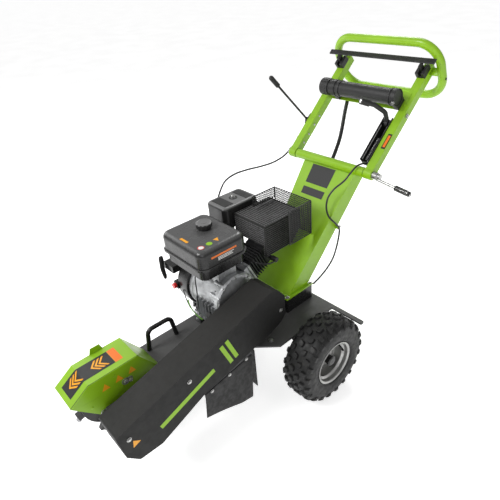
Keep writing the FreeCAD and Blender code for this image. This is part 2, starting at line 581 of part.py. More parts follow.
def build_engine():
    rails = [block("engine_rail%d" % i, (x, x + 44), (-325, -85), ("deck_top", "engine_base"))
             for i, x in enumerate((-165, -30))]
    group("engine_rails", rails)

    outline = [("-crank_y - 115", "engine_base"), ("-crank_y + 110", "engine_base"),
               ("-crank_y + 130", "engine_base + 40"), ("-crank_y + 118", "crank_z + 60"),
               ("-crank_y + 30", "tank_bottom"), ("-crank_y - 70", "tank_bottom"),
               ("-crank_y - 118", "crank_z + 50"), ("-crank_y - 128", "crank_z - 40")]
    case = pad("crankcase_block", outline, "engine_face - case_far", "YZ_Plane", "case_far", keep=False)
    round_edges(case, 14, lambda e: runs_along(e, (1, 0, 0)))
    bore = rod("crank_bore", "crank_radius + running_gap", "engine_face - case_far + 4", "case_far - 2",
               "-crank_y", "crank_z")
    cut("crankcase", case, bore, keep=True)
    node(rod("crankshaft", "crank_radius", "pulley_x + pulley_width + 8 - (case_far - 20)", "case_far - 20",
             "-crank_y", "crank_z"), "crankshaft")

    lean = math.radians(25)
    seat = Vector(0, -number("crank_y"), number("crank_z"))
    fins = [Part.makeBox(100, 96, 84, Vector(-115, 128, -42))]
    for i in range(7):
        fins.append(Part.makeBox(124, 5, 104, Vector(-127, 136 + 13 * i, -52)))
    cylinder = fins[0].multiFuse(fins[1:])
    head = Part.makeBox(108, 22, 92, Vector(-119, 224, -46))
    cylinder = cylinder.fuse(head)
    cover = Part.makeBox(92, 26, 76, Vector(-111, 246, -38))
    cover = cover.makeFillet(9, [e for e in cover.Edges if abs(e.CenterOfMass.y - 246) > 1])
    tilt = Placement(seat, Rotation(Vector(1, 0, 0), math.degrees(lean)))
    case_shape = doc.getObject("crankcase").Shape
    cylinder = cylinder.fuse(cover)
    cylinder.Placement = tilt
    plug = Part.makeCylinder(9, 46, Vector(-14, 8, 594), Vector(1, 0, 0))
    boot = Part.makeCylinder(12, 26, Vector(28, 8, 594), Vector(1, 0, 0))
    cylinder = cylinder.cut(case_shape)
    shaped("cylinder", cylinder)
    shaped("spark_plug", plug.fuse(boot).cut(cylinder))

    drum = turned("fan_drum", [
        ("case_far", "crank_radius + 10"), ("case_far", "fan_radius"), ("case_far - 70", "fan_radius"),
        ("case_far - 88", "fan_radius - 16"), ("case_far - 88", "86"), ("case_far - 112", "74"),
        ("case_far - 112", "0"), ("case_far - 24", "0"), ("case_far - 24", "crank_radius + 10")], keep=False)
    at(drum, 0, "-crank_y", "crank_z")
    guide = block("rope_guide", ("case_far - 146", "case_far - 68"), ("-crank_y - 140", "-crank_y - 82"),
                  ("crank_z + 68", "crank_z + 104"))
    seat = block("switch_seat", ("case_far - 97", "case_far - 63"), ("-crank_y - fan_radius - 7", "-crank_y - fan_radius + 20"),
                 ("crank_z - 17", "crank_z + 17"))
    fuse("fan_housing", [drum, guide, seat], keep=True)
    pull = block("pull", ("case_far - 147", "case_far - 123"), ("-crank_y - 164.3", "-crank_y - 140.3"),
                 ("crank_z + 22", "crank_z + 142"))
    handle = node(doc.addObject("Part::Fillet", "recoil_handle"), "recoil_handle")
    doc.recompute()
    handle.Base = pull
    handle.Edges = [(i, 8, 8) for i in range(1, 13)]
    node(rod("engine_switch", 13, 12, "case_far - 80", "-crank_y - fan_radius - 19.3", "crank_z", "Y"),
         "engine_switch")

    corners = [("tank_far", "-tank_front"), ("tank_near", "-tank_front"), ("tank_near", "-tank_rear"),
               ("tank_far", "-tank_rear")]
    def inset(d):
        return [("tank_far + %s" % d, "-tank_front + %s" % d), ("tank_near - %s" % d, "-tank_front + %s" % d),
                ("tank_near - %s" % d, "-tank_rear - %s" % d), ("tank_far + %s" % d, "-tank_rear - %s" % d)]
    def upright(edge):
        return runs_along(edge, (0, 0, 1))
    lower = pad("tank_lower", inset(14), "tank_flange - tank_bottom", "XY_Plane", "tank_bottom", keep=False)
    round_edges(lower, 34, upright)
    flange = pad("tank_seam", corners, 8, "XY_Plane", "tank_flange - 4", keep=False)
    round_edges(flange, 42, upright)
    upper = pad("tank_upper", inset(6), "tank_top - tank_flange", "XY_Plane", "tank_flange", keep=False)
    round_edges(upper, 38, upright)
    top = number("tank_top")
    round_edges(upper, 26, lambda e: abs(e.CenterOfMass.z - top) < 1e-3)
    neck = rod("tank_neck", "cap_radius - 6", 10, "cap_x", "cap_y", "tank_top - 1", "Z")
    fuse("fuel_tank", [lower, flange, upper, neck], keep=True)
    node(rod("fuel_cap", "cap_radius", 20, "cap_x", "cap_y", "tank_top + 9.3", "Z"), "fuel_cap")

    filter_box = pad("air_filter", [("filter_far", "filter_front"), ("filter_near", "filter_front"),
                                    ("filter_near", "filter_rear"), ("filter_far", "filter_rear")],
                     "filter_top - filter_bottom", "XY_Plane", "filter_bottom")
    round_edges(filter_box, 26, upright)
    filter_top = number("filter_top")
    round_edges(filter_box, 14, lambda e: abs(e.CenterOfMass.z - filter_top) < 1e-3)
    stud = rod("wing_stud", 4, 14, "(filter_far + filter_near)/2", "filter_front + 110", "filter_top + 0.2", "Z")
    wings = block("wings", ("(filter_far + filter_near)/2 - 18", "(filter_far + filter_near)/2 + 18"),
                  ("filter_front + 108", "filter_front + 112"), ("filter_top + 3", "filter_top + 17"))
    fuse("wing_nut", [stud, wings], keep=True)
    throat = block("carburettor_body", (-250, -196), (-75, -15), (545, "filter_bottom - 0.3"))
    port = rod("carburettor_port", 20, 71, -198, -45.5, 569.4)
    fuse("carburettor", [throat, port], keep=True)

    silencer = pad("muffler_can", [(-6, 664), (150, 664), (188, 680), (188, 748), (-6, 748)], 172, "YZ_Plane", -166,
                   keep=False)
    round_edges(silencer, 16, lambda e: runs_along(e, (1, 0, 0)))
    stub = Part.makeCylinder(14, 70, Vector(-60, 4, 600), Vector(0, 0, 1)).cut(doc.getObject("cylinder").Shape)
    stub = max(stub.Solids, key=lambda solid: solid.BoundBox.ZMax)
    lugs = [block("cage_lug%d" % i, (x, x + 20), (80, 100), (747, "cage_top - 2.2")) for i, x in enumerate((-150, -30))]
    fuse("muffler", [silencer, shaped("exhaust_stub", stub, keep=False)] + lugs, keep=True)
    cage = pad("cage_shell", [
        ("cage_front", "cage_bottom"), ("cage_rear - 55", "cage_bottom"), ("cage_rear", "cage_bottom + 55"),
        ("cage_rear", "cage_top"), ("cage_front", "cage_top")], "cage_near - cage_far", "YZ_Plane", "cage_far",
        keep=False)
    round_edges(cage, 10, lambda e: runs_along(e, (1, 0, 0)) and e.CenterOfMass.z > 700)
    floor = number("cage_bottom")
    hollow(cage, 2, lambda f: f.CenterOfMass.z < floor + 1 or abs(f.CenterOfMass.z - floor - 27.5) < 1)
    sketch = new_sketch(cage, "XY_Plane", "cage_top + 3")
    draw_polygon(sketch, [("cage_far + 16", "cage_front + 24"), ("cage_near - 16", "cage_front + 24"),
                          ("cage_near - 16", "cage_front + 32"), ("cage_far + 16", "cage_front + 32")])
    slot = cage.newObject("PartDesign::Pocket", "Slot")
    slot.Profile = sketch
    slot.Length = 8
    doc.recompute()
    slots = cage.newObject("PartDesign::LinearPattern", "Slots")
    slots.Originals = [slot]
    slots.Direction = (origin_plane(cage, "Y_Axis"), [""])
    slots.Length = 160
    slots.Occurrences = 9
    cage.Tip = slots
    doc.recompute()
    mouth = block("cage_mouth", (-140, 8), ("cage_front - 5", "cage_front + 72"), ("cage_bottom - 2", 656))
    cut("muffler_guard", cage, mouth, keep=True)
    back = block("mesh_back", ("mesh_far", "mesh_near"), ("cage_rear", "cage_rear + 2"), ("mesh_bottom", "mesh_top"))
    near = block("mesh_near_side", ("mesh_near - 2", "mesh_near"), ("mesh_front", "cage_rear + 1"),
                 ("mesh_bottom", "mesh_top"))
    far = block("mesh_far_side", ("mesh_far", "mesh_far + 2"), ("mesh_front", "cage_rear + 1"),
                ("cage_top + 8", "mesh_top"))
    fuse("heat_mesh", [back, near, far], keep=True)


# ---- column and handle -------------------------------------------------------------------------------

def column_solid(inset, foot_drop, head_drop):
    """The tapered column between its foot and its leaning head, shrunk by an inset on every side."""
    foot_z = number("riser_top + flange_plate") - foot_drop
    foot, head = number("column_foot") - inset, number("column_head") - inset
    head_front = Vector(0, number("pivot_y") + 19 + head_drop * 0.4, number("pivot_z") + 15 - head_drop)
    head_rear = Vector(0, number("pivot_y") + 58 - head_drop, number("pivot_z") - 44 - head_drop)
    foot_front, foot_rear = 20 + inset, 150 - inset
    head_front.y += inset * 1.3
    head_rear.y -= inset * 0.6

    def ring(half, front, rear):
        corners = [Vector(-half, front[0], front[1]), Vector(half, front[0], front[1]),
                   Vector(half, rear[0], rear[1]), Vector(-half, rear[0], rear[1])]
        return Part.makePolygon(corners + corners[:1])
    return Part.makeLoft([ring(foot, (foot_front, foot_z), (foot_rear, foot_z)),
                          ring(head, (head_front.y, head_front.z), (head_rear.y, head_rear.z))], True, True)


def build_column():
    riser = block("riser_block", ("-riser_half", "riser_half"), ("riser_front", "riser_rear"),
                  ("deck_top", "riser_top"))
    space = block("riser_space", ("-riser_half + 5", "riser_half - 5"), ("riser_front + 5", "riser_rear - 5"),
                  ("deck_top", "riser_top - 5"))
    cut("column_riser", riser, space, keep=True)

    column = column_solid(0, 0, 0).cut(column_solid(number("column_sheet"), 0, 4))
    foot = Part.makeBox(2 * number("riser_half") + 6, number("riser_rear - riser_front") + 8,
                        number("flange_plate"),
                        Vector(-number("riser_half") - 3, number("riser_front") - 4, number("riser_top")))
    grommet = Part.makeCylinder(11, 60, Vector(-30, number("pivot_y") + 44, number("pivot_z") - 40), Vector(0, 0, 1))
    pivot = Part.makeCylinder(number("pivot_radius"), 2 * number("pivot_half"),
                              Vector(-number("pivot_half"), PIVOT.y, PIVOT.z), Vector(1, 0, 0))
    bore = Part.makeCylinder(number("pin_radius + running_gap"), 500, Vector(-250, PIVOT.y, PIVOT.z),
                             Vector(1, 0, 0))
    column = column.fuse(foot).cut(grommet).fuse(pivot).cut(bore)
    clip = Part.makeBox(24, 16, 10, Vector(number("column_foot") + 16, 318, 650))
    column = column.fuse(clip)
    shaped("steering_column", column)

    for x in (-1, 1):
        for y in ("riser_front + 8", "riser_rear - 4"):
            FRAME_BOLTS.append(rod("column_bolt", 8, 7, "%d*(riser_half - 7)" % x, y, "riser_top + flange_plate", "Z"))
        FRAME_BOLTS.append(rod("engine_bolt", 7, 6, "-75.5 + %d*67.5" % x, "-crank_y - 126", "deck_top + 22", "Y"))
    FRAME_BOLTS.append(rod("deck_bolt", 9, 7, 190, -178, "deck_top", "Z"))
    group("frame_bolts", FRAME_BOLTS)

    shank = rod("pin_shank", "pin_radius", "2*arm_x + arm_square + 44", "-arm_x - arm_square/2 - 6", "pivot_y", "pivot_z")
    head = rod("pin_head", "pin_radius + 8", 8, "-arm_x - arm_square/2 - 9", "pivot_y", "pivot_z")
    fuse("pivot_pin", [shank, head], keep=True)


def build_arms():
    half = "arm_square/2"
    for side, sign in (("left", 1), ("right", -1)):
        middle = "%d*arm_x" % sign
        outer = block(side + "_arm_outer", ("%s - %s" % (middle, half), "%s + %s" % (middle, half)),
                      (0, "arm_length"), ("-" + half, half))
        inner = block(side + "_arm_inner",
                      ("%s - %s + arm_sheet" % (middle, half), "%s + %s - arm_sheet" % (middle, half)),
                      (30, "arm_length - 3"), ("-%s + arm_sheet" % half, "%s - arm_sheet" % half))
        boss = rod(side + "_boss", "arm_square/2 + 4", "arm_square", "%s - %s" % (middle, half), 0, 0)
        bore = rod(side + "_arm_bore", "pin_radius + running_gap", "arm_square + 4",
                   "%s - %s - 2" % (middle, half), 0, 0)
        shell = cut(side + "_arm_shell", outer, inner)
        arm = cut(side + "_arm", fuse(side + "_arm_solid", [shell, boss]), bore, keep=True)
        lay_on_handle(arm)

    plate = pad("cross_plate", [("-arm_x", 308), ("arm_x", 308), ("arm_x", 400), ("-arm_x", 400)], 3,
                "XY_Plane", "arm_square/2")
    lay_on_handle(plate)

    lean = math.radians(number("loop_lean"))
    middle = Vector(0, number("loop_y"), number("loop_z"))
    up = Vector(0, -math.sin(lean), math.cos(lean))
    half, rise, bend = number("loop_half"), number("loop_rise"), number("loop_bend")

    def ring_point(x, v):
        return middle + Vector(1, 0, 0) * x + up * v
    edges = []
    spots = [(half, rise), (-half, rise), (-half, -rise), (half, -rise)]
    for i, (x, v) in enumerate(spots):
        nx, nv = spots[(i + 1) % 4]
        step = Vector(nx - x, nv - v, 0).normalize()
        start = ring_point(x + step.x * bend, v + step.y * bend)
        end = ring_point(nx - step.x * bend, nv - step.y * bend)
        edges.append(Part.LineSegment(start, end).toShape())
        after = spots[(i + 2) % 4]
        turn = Vector(after[0] - nx, after[1] - nv, 0).normalize()
        corner_end = ring_point(nx + turn.x * bend, nv + turn.y * bend)
        inset = bend * (1 - math.sqrt(0.5))
        arc_middle = ring_point(nx - step.x * inset + turn.x * inset, nv - step.y * inset + turn.y * inset)
        edges.append(Part.Arc(end, arc_middle, corner_end).toShape())
    path = Part.Wire(edges)
    ring = Part.Wire([Part.makeCircle(number("loop_radius"), edges[0].Vertexes[0].Point, Vector(-1, 0, 0))])
    tube = path.makePipeShell([ring], True, False)
    print("handle_loop volume error %.5f" % abs(tube.Volume / (math.pi * number("loop_radius") ** 2 * path.Length) - 1))
    reach = half - number("arm_x")
    for side in (1, -1):
        start = min(side * number("arm_x"), side * half)
        gusset = shaped("gusset", Part.makeBox(reach, 34, 10, Vector(start, number("arm_length") - 44, -5)), keep=False)
        tube = tube.fuse(lay_on_handle(gusset).Shape)
    for side in ("left_arm", "right_arm"):
        solid = doc.getObject(side).Shape
        hull = shaped("arm_hull", Part.makeBox(number("arm_square"), number("arm_length"), number("arm_square"), Vector(
            (1 if side == "left_arm" else -1) * number("arm_x") - number("arm_square") / 2, 0,
            -number("arm_square") / 2)), keep=False)
        tube = tube.cut(lay_on_handle(hull).Shape).cut(solid)
    shaped("handle_loop", max(tube.Solids, key=lambda piece: piece.Volume))


def build_controls():
    arm_top = number("arm_square") / 2
    # two housings carry the presence bar
    housings = []
    seat = number("presence_along")
    for sign in (1, -1):
        body = Part.makeBox(44, 52, 30, Vector(sign * number("arm_x") - 22, seat - 26, arm_top))
        slot = Part.makeBox(14, 60, 30, Vector(sign * number("arm_x") - 7, seat - 30, arm_top + 7))
        pin = Part.makeCylinder(4, 44, Vector(sign * number("arm_x") - 22, seat, arm_top + 20), Vector(1, 0, 0))
        housings.append(shaped("housing%d" % sign, body.cut(slot).fuse(pin), keep=False))
        lay_on_handle(housings[-1])
    group("presence_housings", housings)
    bar = Part.makeBox(2 * 282, 26, 7, Vector(-282, seat + 8, 72))
    bar = bar.makeFillet(3, [e for e in bar.Edges if e.Length > 100])
    for sign in (1, -1):
        leg = Part.makeBox(12, 20, 42, Vector(sign * number("arm_x") - 6, seat - 10, arm_top + 13))
        foot = Part.makeBox(12, 34, 8, Vector(sign * number("arm_x") - 6, seat - 10, 67))
        hole = Part.makeCylinder(4.08, 20, Vector(sign * number("arm_x") - 10, seat, arm_top + 20), Vector(1, 0, 0))
        bar = bar.fuse(leg).fuse(foot).cut(hole)
    lay_on_handle(shaped("presence_bar", bar.removeSplitter()))

    # throttle lever on the right arm's outer face
    outer_face = -number("arm_x") - arm_top
    along = number("throttle_along")
    base = on_handle(outer_face, along, 0)
    plate = Part.makeBox(5, 56, 40, Vector(outer_face - 5, along - 28, -20))
    stub = Part.makeCylinder(6, 20, Vector(outer_face - 23, along, 0), Vector(1, 0, 0))
    stop = Part.makeBox(18, 8, 12, Vector(outer_face - 20, along - 28, -18))
    clip = Part.makeBox(22, 14, 18, Vector(outer_face - 22, along - 106, -21))
    wire = Part.makeCylinder(2.5, 82, Vector(outer_face - 14, along - 104, -12), Vector(0, 1, 0))
    lay_on_handle(shaped("throttle_bracket", plate.fuse([stub, stop, clip, wire])))
    end = Vector(outer_face - 14, 330, 1266)
    root = Vector(outer_face - 14, base.y, base.z)
    way = (end - root).normalize()
    eye = Part.makeCylinder(15, 12, root - Vector(6, 0, 0), Vector(1, 0, 0))
    lever = eye.fuse(Part.makeCylinder(5, (end - root).Length - 46, root, way))
    knob = Part.makeCylinder(11, 56, end - way * 52, way)
    knob = knob.fuse(Part.makeSphere(11, end + way * 4))
    lever = lever.fuse(knob).cut(Part.makeCylinder(6.08, 40, root - Vector(20, 0, 0), Vector(1, 0, 0)))
    shaped("throttle_lever", lever)

    # parking brake lever on the left arm's inner face
    inner_face = number("arm_x") - arm_top
    along, wide = number("brake_along"), 46
    outer_cheek = Part.makeBox(4, 222, 54, Vector(inner_face - 4, along - 200, -28))
    inner_cheek = Part.makeBox(4, 222, 54, Vector(inner_face - wide, along - 200, -28))
    base = Part.makeBox(wide, 222, 4, Vector(inner_face - wide, along - 200, -28))
    end_wall = Part.makeBox(wide, 4, 34, Vector(inner_face - wide, along - 200, -28))
    post = Part.makeCylinder(7, wide, Vector(inner_face - wide, along, 8), Vector(1, 0, 0))
    channel = outer_cheek.fuse([inner_cheek, base, end_wall, post]).removeSplitter()
    lay_on_handle(shaped("brake_bracket", channel))
    hub = on_handle(inner_face - wide / 2, along, 8)
    reach = [hub, hub + Vector(-4, -18, 52), hub + Vector(-26, -70, 92), hub + Vector(-46, -112, 110)]
    wire, _ = bent_wire([tuple(p) for p in reach], 30)
    ring = Part.Wire([Part.makeCircle(10, reach[0], reach[1] - reach[0])])
    arm = wire.makePipeShell([ring], True, False)
    eye = Part.makeCylinder(17, 14, hub - Vector(7, 0, 0), Vector(1, 0, 0))
    grip_way = (reach[3] - reach[2]).normalize()
    grip = Part.makeCylinder(14, 44, reach[3] - grip_way * 22, grip_way)
    arm = eye.fuse(arm).fuse(grip).cut(Part.makeCylinder(7.08, 60, hub - Vector(30, 0, 0), Vector(1, 0, 0)))
    shaped("brake_lever", arm)

    # document tube lies on the cross plate in two saddles
    along, above = number("tube_along"), arm_top + number("tube_rise + tube_radius")
    axis = on_handle(0, along, above)
    radius = number("tube_radius")
    near, far = number("tube_near"), number("tube_far")
    tube = Part.makeCylinder(radius, near - far, Vector(far, axis.y, axis.z), Vector(1, 0, 0))
    hole = Part.makeCylinder(radius - 3, near - far - 6, Vector(far - 1, axis.y, axis.z), Vector(1, 0, 0))
    shaped("document_tube", tube.cut(hole))
    cap = Part.makeCylinder(radius + 4, 44, Vector(far - 14, axis.y, axis.z), Vector(1, 0, 0))
    cap = cap.cut(Part.makeCylinder(radius + 0.3, 60, Vector(far - 0.3, axis.y, axis.z), Vector(1, 0, 0)))
    shaped("tube_cap", cap)
    saddles = []
    for x in (-140, 186):
        band = Part.makeCylinder(radius + 3.2, 22, Vector(x, along, above), Vector(1, 0, 0))
        foot = Part.makeBox(22, 54, number("tube_rise") + 4, Vector(x, along - 27, arm_top + 3))
        band = band.fuse(foot).cut(Part.makeCylinder(radius + 0.2, 40, Vector(x - 9, along, above), Vector(1, 0, 0)))
        band = band.common(Part.makeBox(60, 300, 300, Vector(x - 20, along - 150, arm_top + 3)))
        saddles.append(lay_on_handle(shaped("saddle", band, keep=False)))
    group("tube_saddles", saddles)

    # clamp lever on the pivot pin's threaded end
    start = number("arm_x") + arm_top + 2
    nut = Part.makeCylinder(17, 22, Vector(start, PIVOT.y, PIVOT.z), Vector(1, 0, 0))
    nut = nut.cut(Part.makeCylinder(number("pin_radius + running_gap"), 60, Vector(start - 20, PIVOT.y, PIVOT.z),
                                    Vector(1, 0, 0)))
    root, tip = Vector(start + 16, PIVOT.y, PIVOT.z - 14), Vector(start + 174, PIVOT.y, PIVOT.z - 36)
    way = (tip - root).normalize()
    stem = Part.makeCylinder(6, (tip - root).Length - 10, root, way)
    grip = Part.makeCylinder(11, 62, tip - way * 60, way).fuse(Part.makeSphere(11, tip + way * 2))
    bore = Part.makeCylinder(number("pin_radius + running_gap"), 60, Vector(start - 20, PIVOT.y, PIVOT.z),
                             Vector(1, 0, 0))
    shaped("clamp_lever", nut.fuse(stem).fuse(grip).cut(bore))


def build_cables():
    outer_face = -number("arm_x + arm_square/2")
    stop = on_handle(outer_face - 14, number("throttle_along") - 106, -12)
    bent_tube("throttle_cable", [
        tuple(stop), (-258, 452, 922), (-266, 400, 884), (-276, 330, 868), (-284, 255, 870), (-296, 180, 876),
        (-318, 112, 870), (-336, 62, 846), (-340, 30, 800), (-339, -5, 735), (-333, -30, 676), (-298, -41, 660),
        (-250.3, -42, 660)], 4)
    end = on_handle(number("arm_x - arm_square/2") - 23, number("brake_along") - 200.4, -10)
    bent_tube("brake_cable", [
        tuple(end), (176, 446, 938), (168, 414, 937), (158, 386, 912), (146, 356, 876), (122, 316, 848),
        (108, 288, 812), (114, 270, 770), (134, 264, 732), (150, 290, 698), (152, 326, 655), (154, 318, 612), (156, 302, 566), (152, 284, 510),
        (142, 252, 462), (130, 212, 424), (118, 178, 398)], 4)
    bent_tube("conduit", [
        tuple(on_handle(-108, 392, 11.4)), (-106, 690, 1128), (-92, 650, 1070), (-74, 612, 1012),
        (-56, 570, 962), (-40, 520, 920), (-30, 476, 881)], 9)
    for control in ("throttle", "brake"):
        cable = doc.getObject(control + "_cable")
        cable.Shape = cable.Shape.cut(doc.getObject(control + "_bracket").Shape)


build_deck()
build_wheels()
build_hood()
build_cutter()
build_belt_drive()
build_flaps()
build_engine()
build_column()
build_arms()
build_controls()
build_cables()

# ---- check and write -------------------------------------------------------------------------------

doc.recompute()
failed = ["%s of %s" % (item.Label, [p.Label for p in item.InList]) for item in doc.Objects
          if {"Invalid", "Error"} & set(item.State)]
if failed:
    raise RuntimeError("objects that did not compute: %s" % ", ".join(failed))
for item in NODES:
    if item.Shape.isNull() or not item.Shape.isValid() or item.Shape.Volume <= 0:
        raise RuntimeError("%s has no sound shape" % item.Label)
os.makedirs("parts", exist_ok=True)
for item in NODES:
    item.Shape.exportStep("parts/%s.step" % item.Label)
print("%d parts" % len(NODES))
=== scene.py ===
"""Walk-behind stump grinder: finishes, shaped pieces and studio, laid out as an add-on."""

import math

import bmesh
import bpy
from bpy.props import FloatProperty, FloatVectorProperty, IntProperty, PointerProperty
from mathutils import Matrix, Vector


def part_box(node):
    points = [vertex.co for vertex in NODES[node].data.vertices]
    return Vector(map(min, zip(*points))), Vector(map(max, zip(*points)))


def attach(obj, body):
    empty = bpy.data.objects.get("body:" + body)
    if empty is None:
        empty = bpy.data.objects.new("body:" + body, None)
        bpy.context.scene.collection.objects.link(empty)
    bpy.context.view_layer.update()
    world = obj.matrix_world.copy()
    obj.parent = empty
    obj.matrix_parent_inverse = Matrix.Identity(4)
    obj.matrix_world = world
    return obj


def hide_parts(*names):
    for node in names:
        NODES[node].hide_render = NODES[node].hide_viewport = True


bl_info = {
    "name": "Stump Grinder",
    "version": (1, 0, 0),
    "blender": (4, 5, 0),
    "location": "View3D > Sidebar > Grinder",
    "description": "Finishes and detail pieces for a walk-behind stump grinder",
    "category": "Object",
}

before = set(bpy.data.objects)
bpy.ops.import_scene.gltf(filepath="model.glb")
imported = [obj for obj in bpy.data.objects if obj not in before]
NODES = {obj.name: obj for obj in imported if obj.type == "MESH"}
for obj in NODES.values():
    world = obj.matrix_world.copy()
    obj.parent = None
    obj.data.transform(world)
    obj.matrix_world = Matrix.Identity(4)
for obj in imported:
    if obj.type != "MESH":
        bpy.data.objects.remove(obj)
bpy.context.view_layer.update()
LOW, HIGH = 0, 1


def low(node):
    return Vector(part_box(node)[LOW])


def high(node):
    return Vector(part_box(node)[HIGH])


def centre(node):
    return (low(node) + high(node)) / 2


# ---- shader writing ------------------------------------------------------------------------------

class Field:
    """A value that changes over a surface; sums and products of fields add the nodes for them."""

    def __init__(self, finish, socket):
        self.finish = finish
        self.socket = socket

    def _math(self, operation, first, second=0.0):
        return self.finish.node("ShaderNodeMath", {"operation": operation}, {0: first, 1: second})

    def __add__(self, other):
        return self._math("ADD", self, other)

    def __sub__(self, other):
        return self._math("SUBTRACT", self, other)

    def __rsub__(self, other):
        return self._math("SUBTRACT", other, self)

    def __mul__(self, other):
        return self._math("MULTIPLY", self, other)

    def __pow__(self, other):
        return self._math("POWER", self, other)

    def __gt__(self, other):
        return self._math("GREATER_THAN", self, other)

    def __abs__(self):
        return self._math("ABSOLUTE", self)

    def top(self, other):
        return self._math("MAXIMUM", self, other)

    __radd__ = __add__
    __rmul__ = __mul__


class Finish:
    """One material, written as expressions."""

    def __init__(self, name):
        self.material = bpy.data.materials.new(name)
        self.material.use_nodes = True
        self.tree = self.material.node_tree
        self.shader = self.tree.nodes["Principled BSDF"]

    def node(self, kind, settings=None, inputs=None, output=0):
        """Adds a node: its settings first, then the values or links of its sockets."""
        made = self.tree.nodes.new(kind)
        for name, value in (settings or {}).items():
            if name == "stops":
                ramp = made.color_ramp
                while len(ramp.elements) < len(value):
                    ramp.elements.new(0.5)
                for element, (place, colour) in zip(ramp.elements, value):
                    element.position = place
                    element.color = colour
            else:
                setattr(made, name, value)
        for name, value in (inputs or {}).items():
            if isinstance(value, Field):
                self.tree.links.new(value.socket, made.inputs[name])
            else:
                made.inputs[name].default_value = value
        return Field(self, made.outputs[output])

    def place(self, output="Object"):
        return self.node("ShaderNodeTexCoord", output=output)

    def along(self, axis):
        """The place along one axis of the machine, in metres."""
        return self.node("ShaderNodeSeparateXYZ", inputs={0: self.place()}, output="XYZ".index(axis))

    def noise(self, scale, detail=3.0, roughness=0.55, stretch=None):
        spot = self.place()
        if stretch:
            spot = self.node("ShaderNodeVectorMath", {"operation": "MULTIPLY"}, {0: spot, 1: stretch})
        return self.node("ShaderNodeTexNoise", inputs={
            "Vector": spot, "Scale": scale, "Detail": detail, "Roughness": roughness})

    def cells(self, scale):
        return self.node("ShaderNodeTexVoronoi", inputs={"Vector": self.place(), "Scale": scale})

    def between(self, value, start, end, first=0.0, last=1.0):
        """Maps a field's span to another, eased and held at its ends."""
        return self.node("ShaderNodeMapRange", {"interpolation_type": "SMOOTHSTEP"}, {
            "Value": value, "From Min": start, "From Max": end, "To Min": first, "To Max": last})

    def settled(self, start=0.35, end=0.95):
        """How far a surface faces upward, where dust settles and rain dries."""
        facing_up = self.node("ShaderNodeSeparateXYZ", inputs={0: self.place("Normal")}, output=2)
        return self.between(facing_up, start, end)

    def blend(self, amount, first, second):
        """One colour going over to another."""
        return self.node("ShaderNodeMix", {"data_type": "RGBA"}, {0: amount, 6: first, 7: second}, output=2)

    def bump(self, height, strength, distance, under=None):
        inputs = {"Height": height, "Strength": strength, "Distance": distance}
        if under is not None:
            inputs["Normal"] = under
        return self.node("ShaderNodeBump", inputs=inputs)

    def set(self, **sockets):
        """Sets the shader's sockets; varying ones are linked, the others hold a plain value."""
        for name, value in sockets.items():
            socket = self.shader.inputs[name.replace("_", " ").title().replace("Ior", "IOR")]
            if isinstance(value, Field):
                self.tree.links.new(value.socket, socket)
            else:
                socket.default_value = value
        return self.material


def shade(colour, factor):
    return tuple(min(1.0, c * factor) for c in colour[:3]) + (1.0,)


def powder_coat(name, colour, roughness, peel=0.25, dust=0.25, sheen=0.5):
    """Baked paint: faint mottling, orange peel, a film of dust and fine handling scratches."""
    f = Finish(name)
    mottle = f.between(f.noise(7.0, 4.0), 0.3, 0.7)
    scratch = f.between(f.noise(60.0, 2.0, 0.7, (1.0, 0.12, 1.0)), 0.66, 0.72)
    film = (f.between(f.noise(3.2, 5.0, 0.65), 0.45, 0.8) * 0.5 + f.settled() * 0.8) * dust
    base = f.blend(mottle, shade(colour, 0.93), shade(colour, 1.06))
    base = f.blend(film * 0.5, base, (0.25, 0.24, 0.22, 1.0))
    base = f.blend(scratch * 0.25, base, shade(colour, 0.6))
    rough = f.between(f.noise(40.0, 3.0), 0.3, 0.7, roughness - 0.05, roughness + 0.06) + film * 0.4
    skin = f.bump(f.noise(420.0, 2.0), peel, 0.0004)
    return f.set(base_color=base, roughness=rough, normal=skin, specular_ior_level=sheen)


def moulding(name, colour, roughness, grain=0.35, scale=900.0, dust=0.0):
    """Moulded plastic with a spark-eroded grain and rubbed patches."""
    f = Finish(name)
    rub = f.between(f.noise(9.0, 4.0), 0.42, 0.7)
    base = f.blend(rub, shade(colour, 0.85), shade(colour, 1.25))
    base = f.blend(f.settled() * dust, base, (0.20, 0.20, 0.20, 1.0))
    rough = f.between(f.noise(25.0, 3.0), 0.3, 0.7, roughness - 0.07, roughness + 0.07)
    return f.set(base_color=base, roughness=rough, normal=f.bump(f.cells(scale), grain, 0.00025))


def bare_metal(name, colour, roughness, grain_scale=260.0, stretch=(1.0, 1.0, 1.0), tarnish=0.3):
    """Plated, cut or polished metal with drawn grain and tarnish in patches."""
    f = Finish(name)
    patch = f.between(f.noise(22.0, 5.0, 0.7), 0.45, 0.75) * tarnish
    grain = f.noise(grain_scale, 3.0, 0.6, stretch)
    base = f.blend(patch, colour, shade(colour, 0.4))
    rough = f.between(grain, 0.3, 0.7, roughness - 0.08, roughness + 0.1) + patch * 0.25
    return f.set(base_color=base, roughness=rough, metallic=0.95, normal=f.bump(grain, 0.15, 0.0003))


def casting(name, colour, roughness, metallic, pits=0.5):
    """Sand or die casting: pebbled skin, oily shade in the hollows."""
    f = Finish(name)
    pebble = f.cells(520.0)
    shadow = f.between(f.noise(14.0, 5.0, 0.65), 0.4, 0.72)
    base = f.blend(shadow, colour, shade(colour, 0.55))
    rough = f.between(f.noise(90.0, 3.0), 0.3, 0.7, roughness - 0.08, roughness + 0.1)
    return f.set(base_color=base, roughness=rough, metallic=metallic, normal=f.bump(pebble, pits, 0.0006))


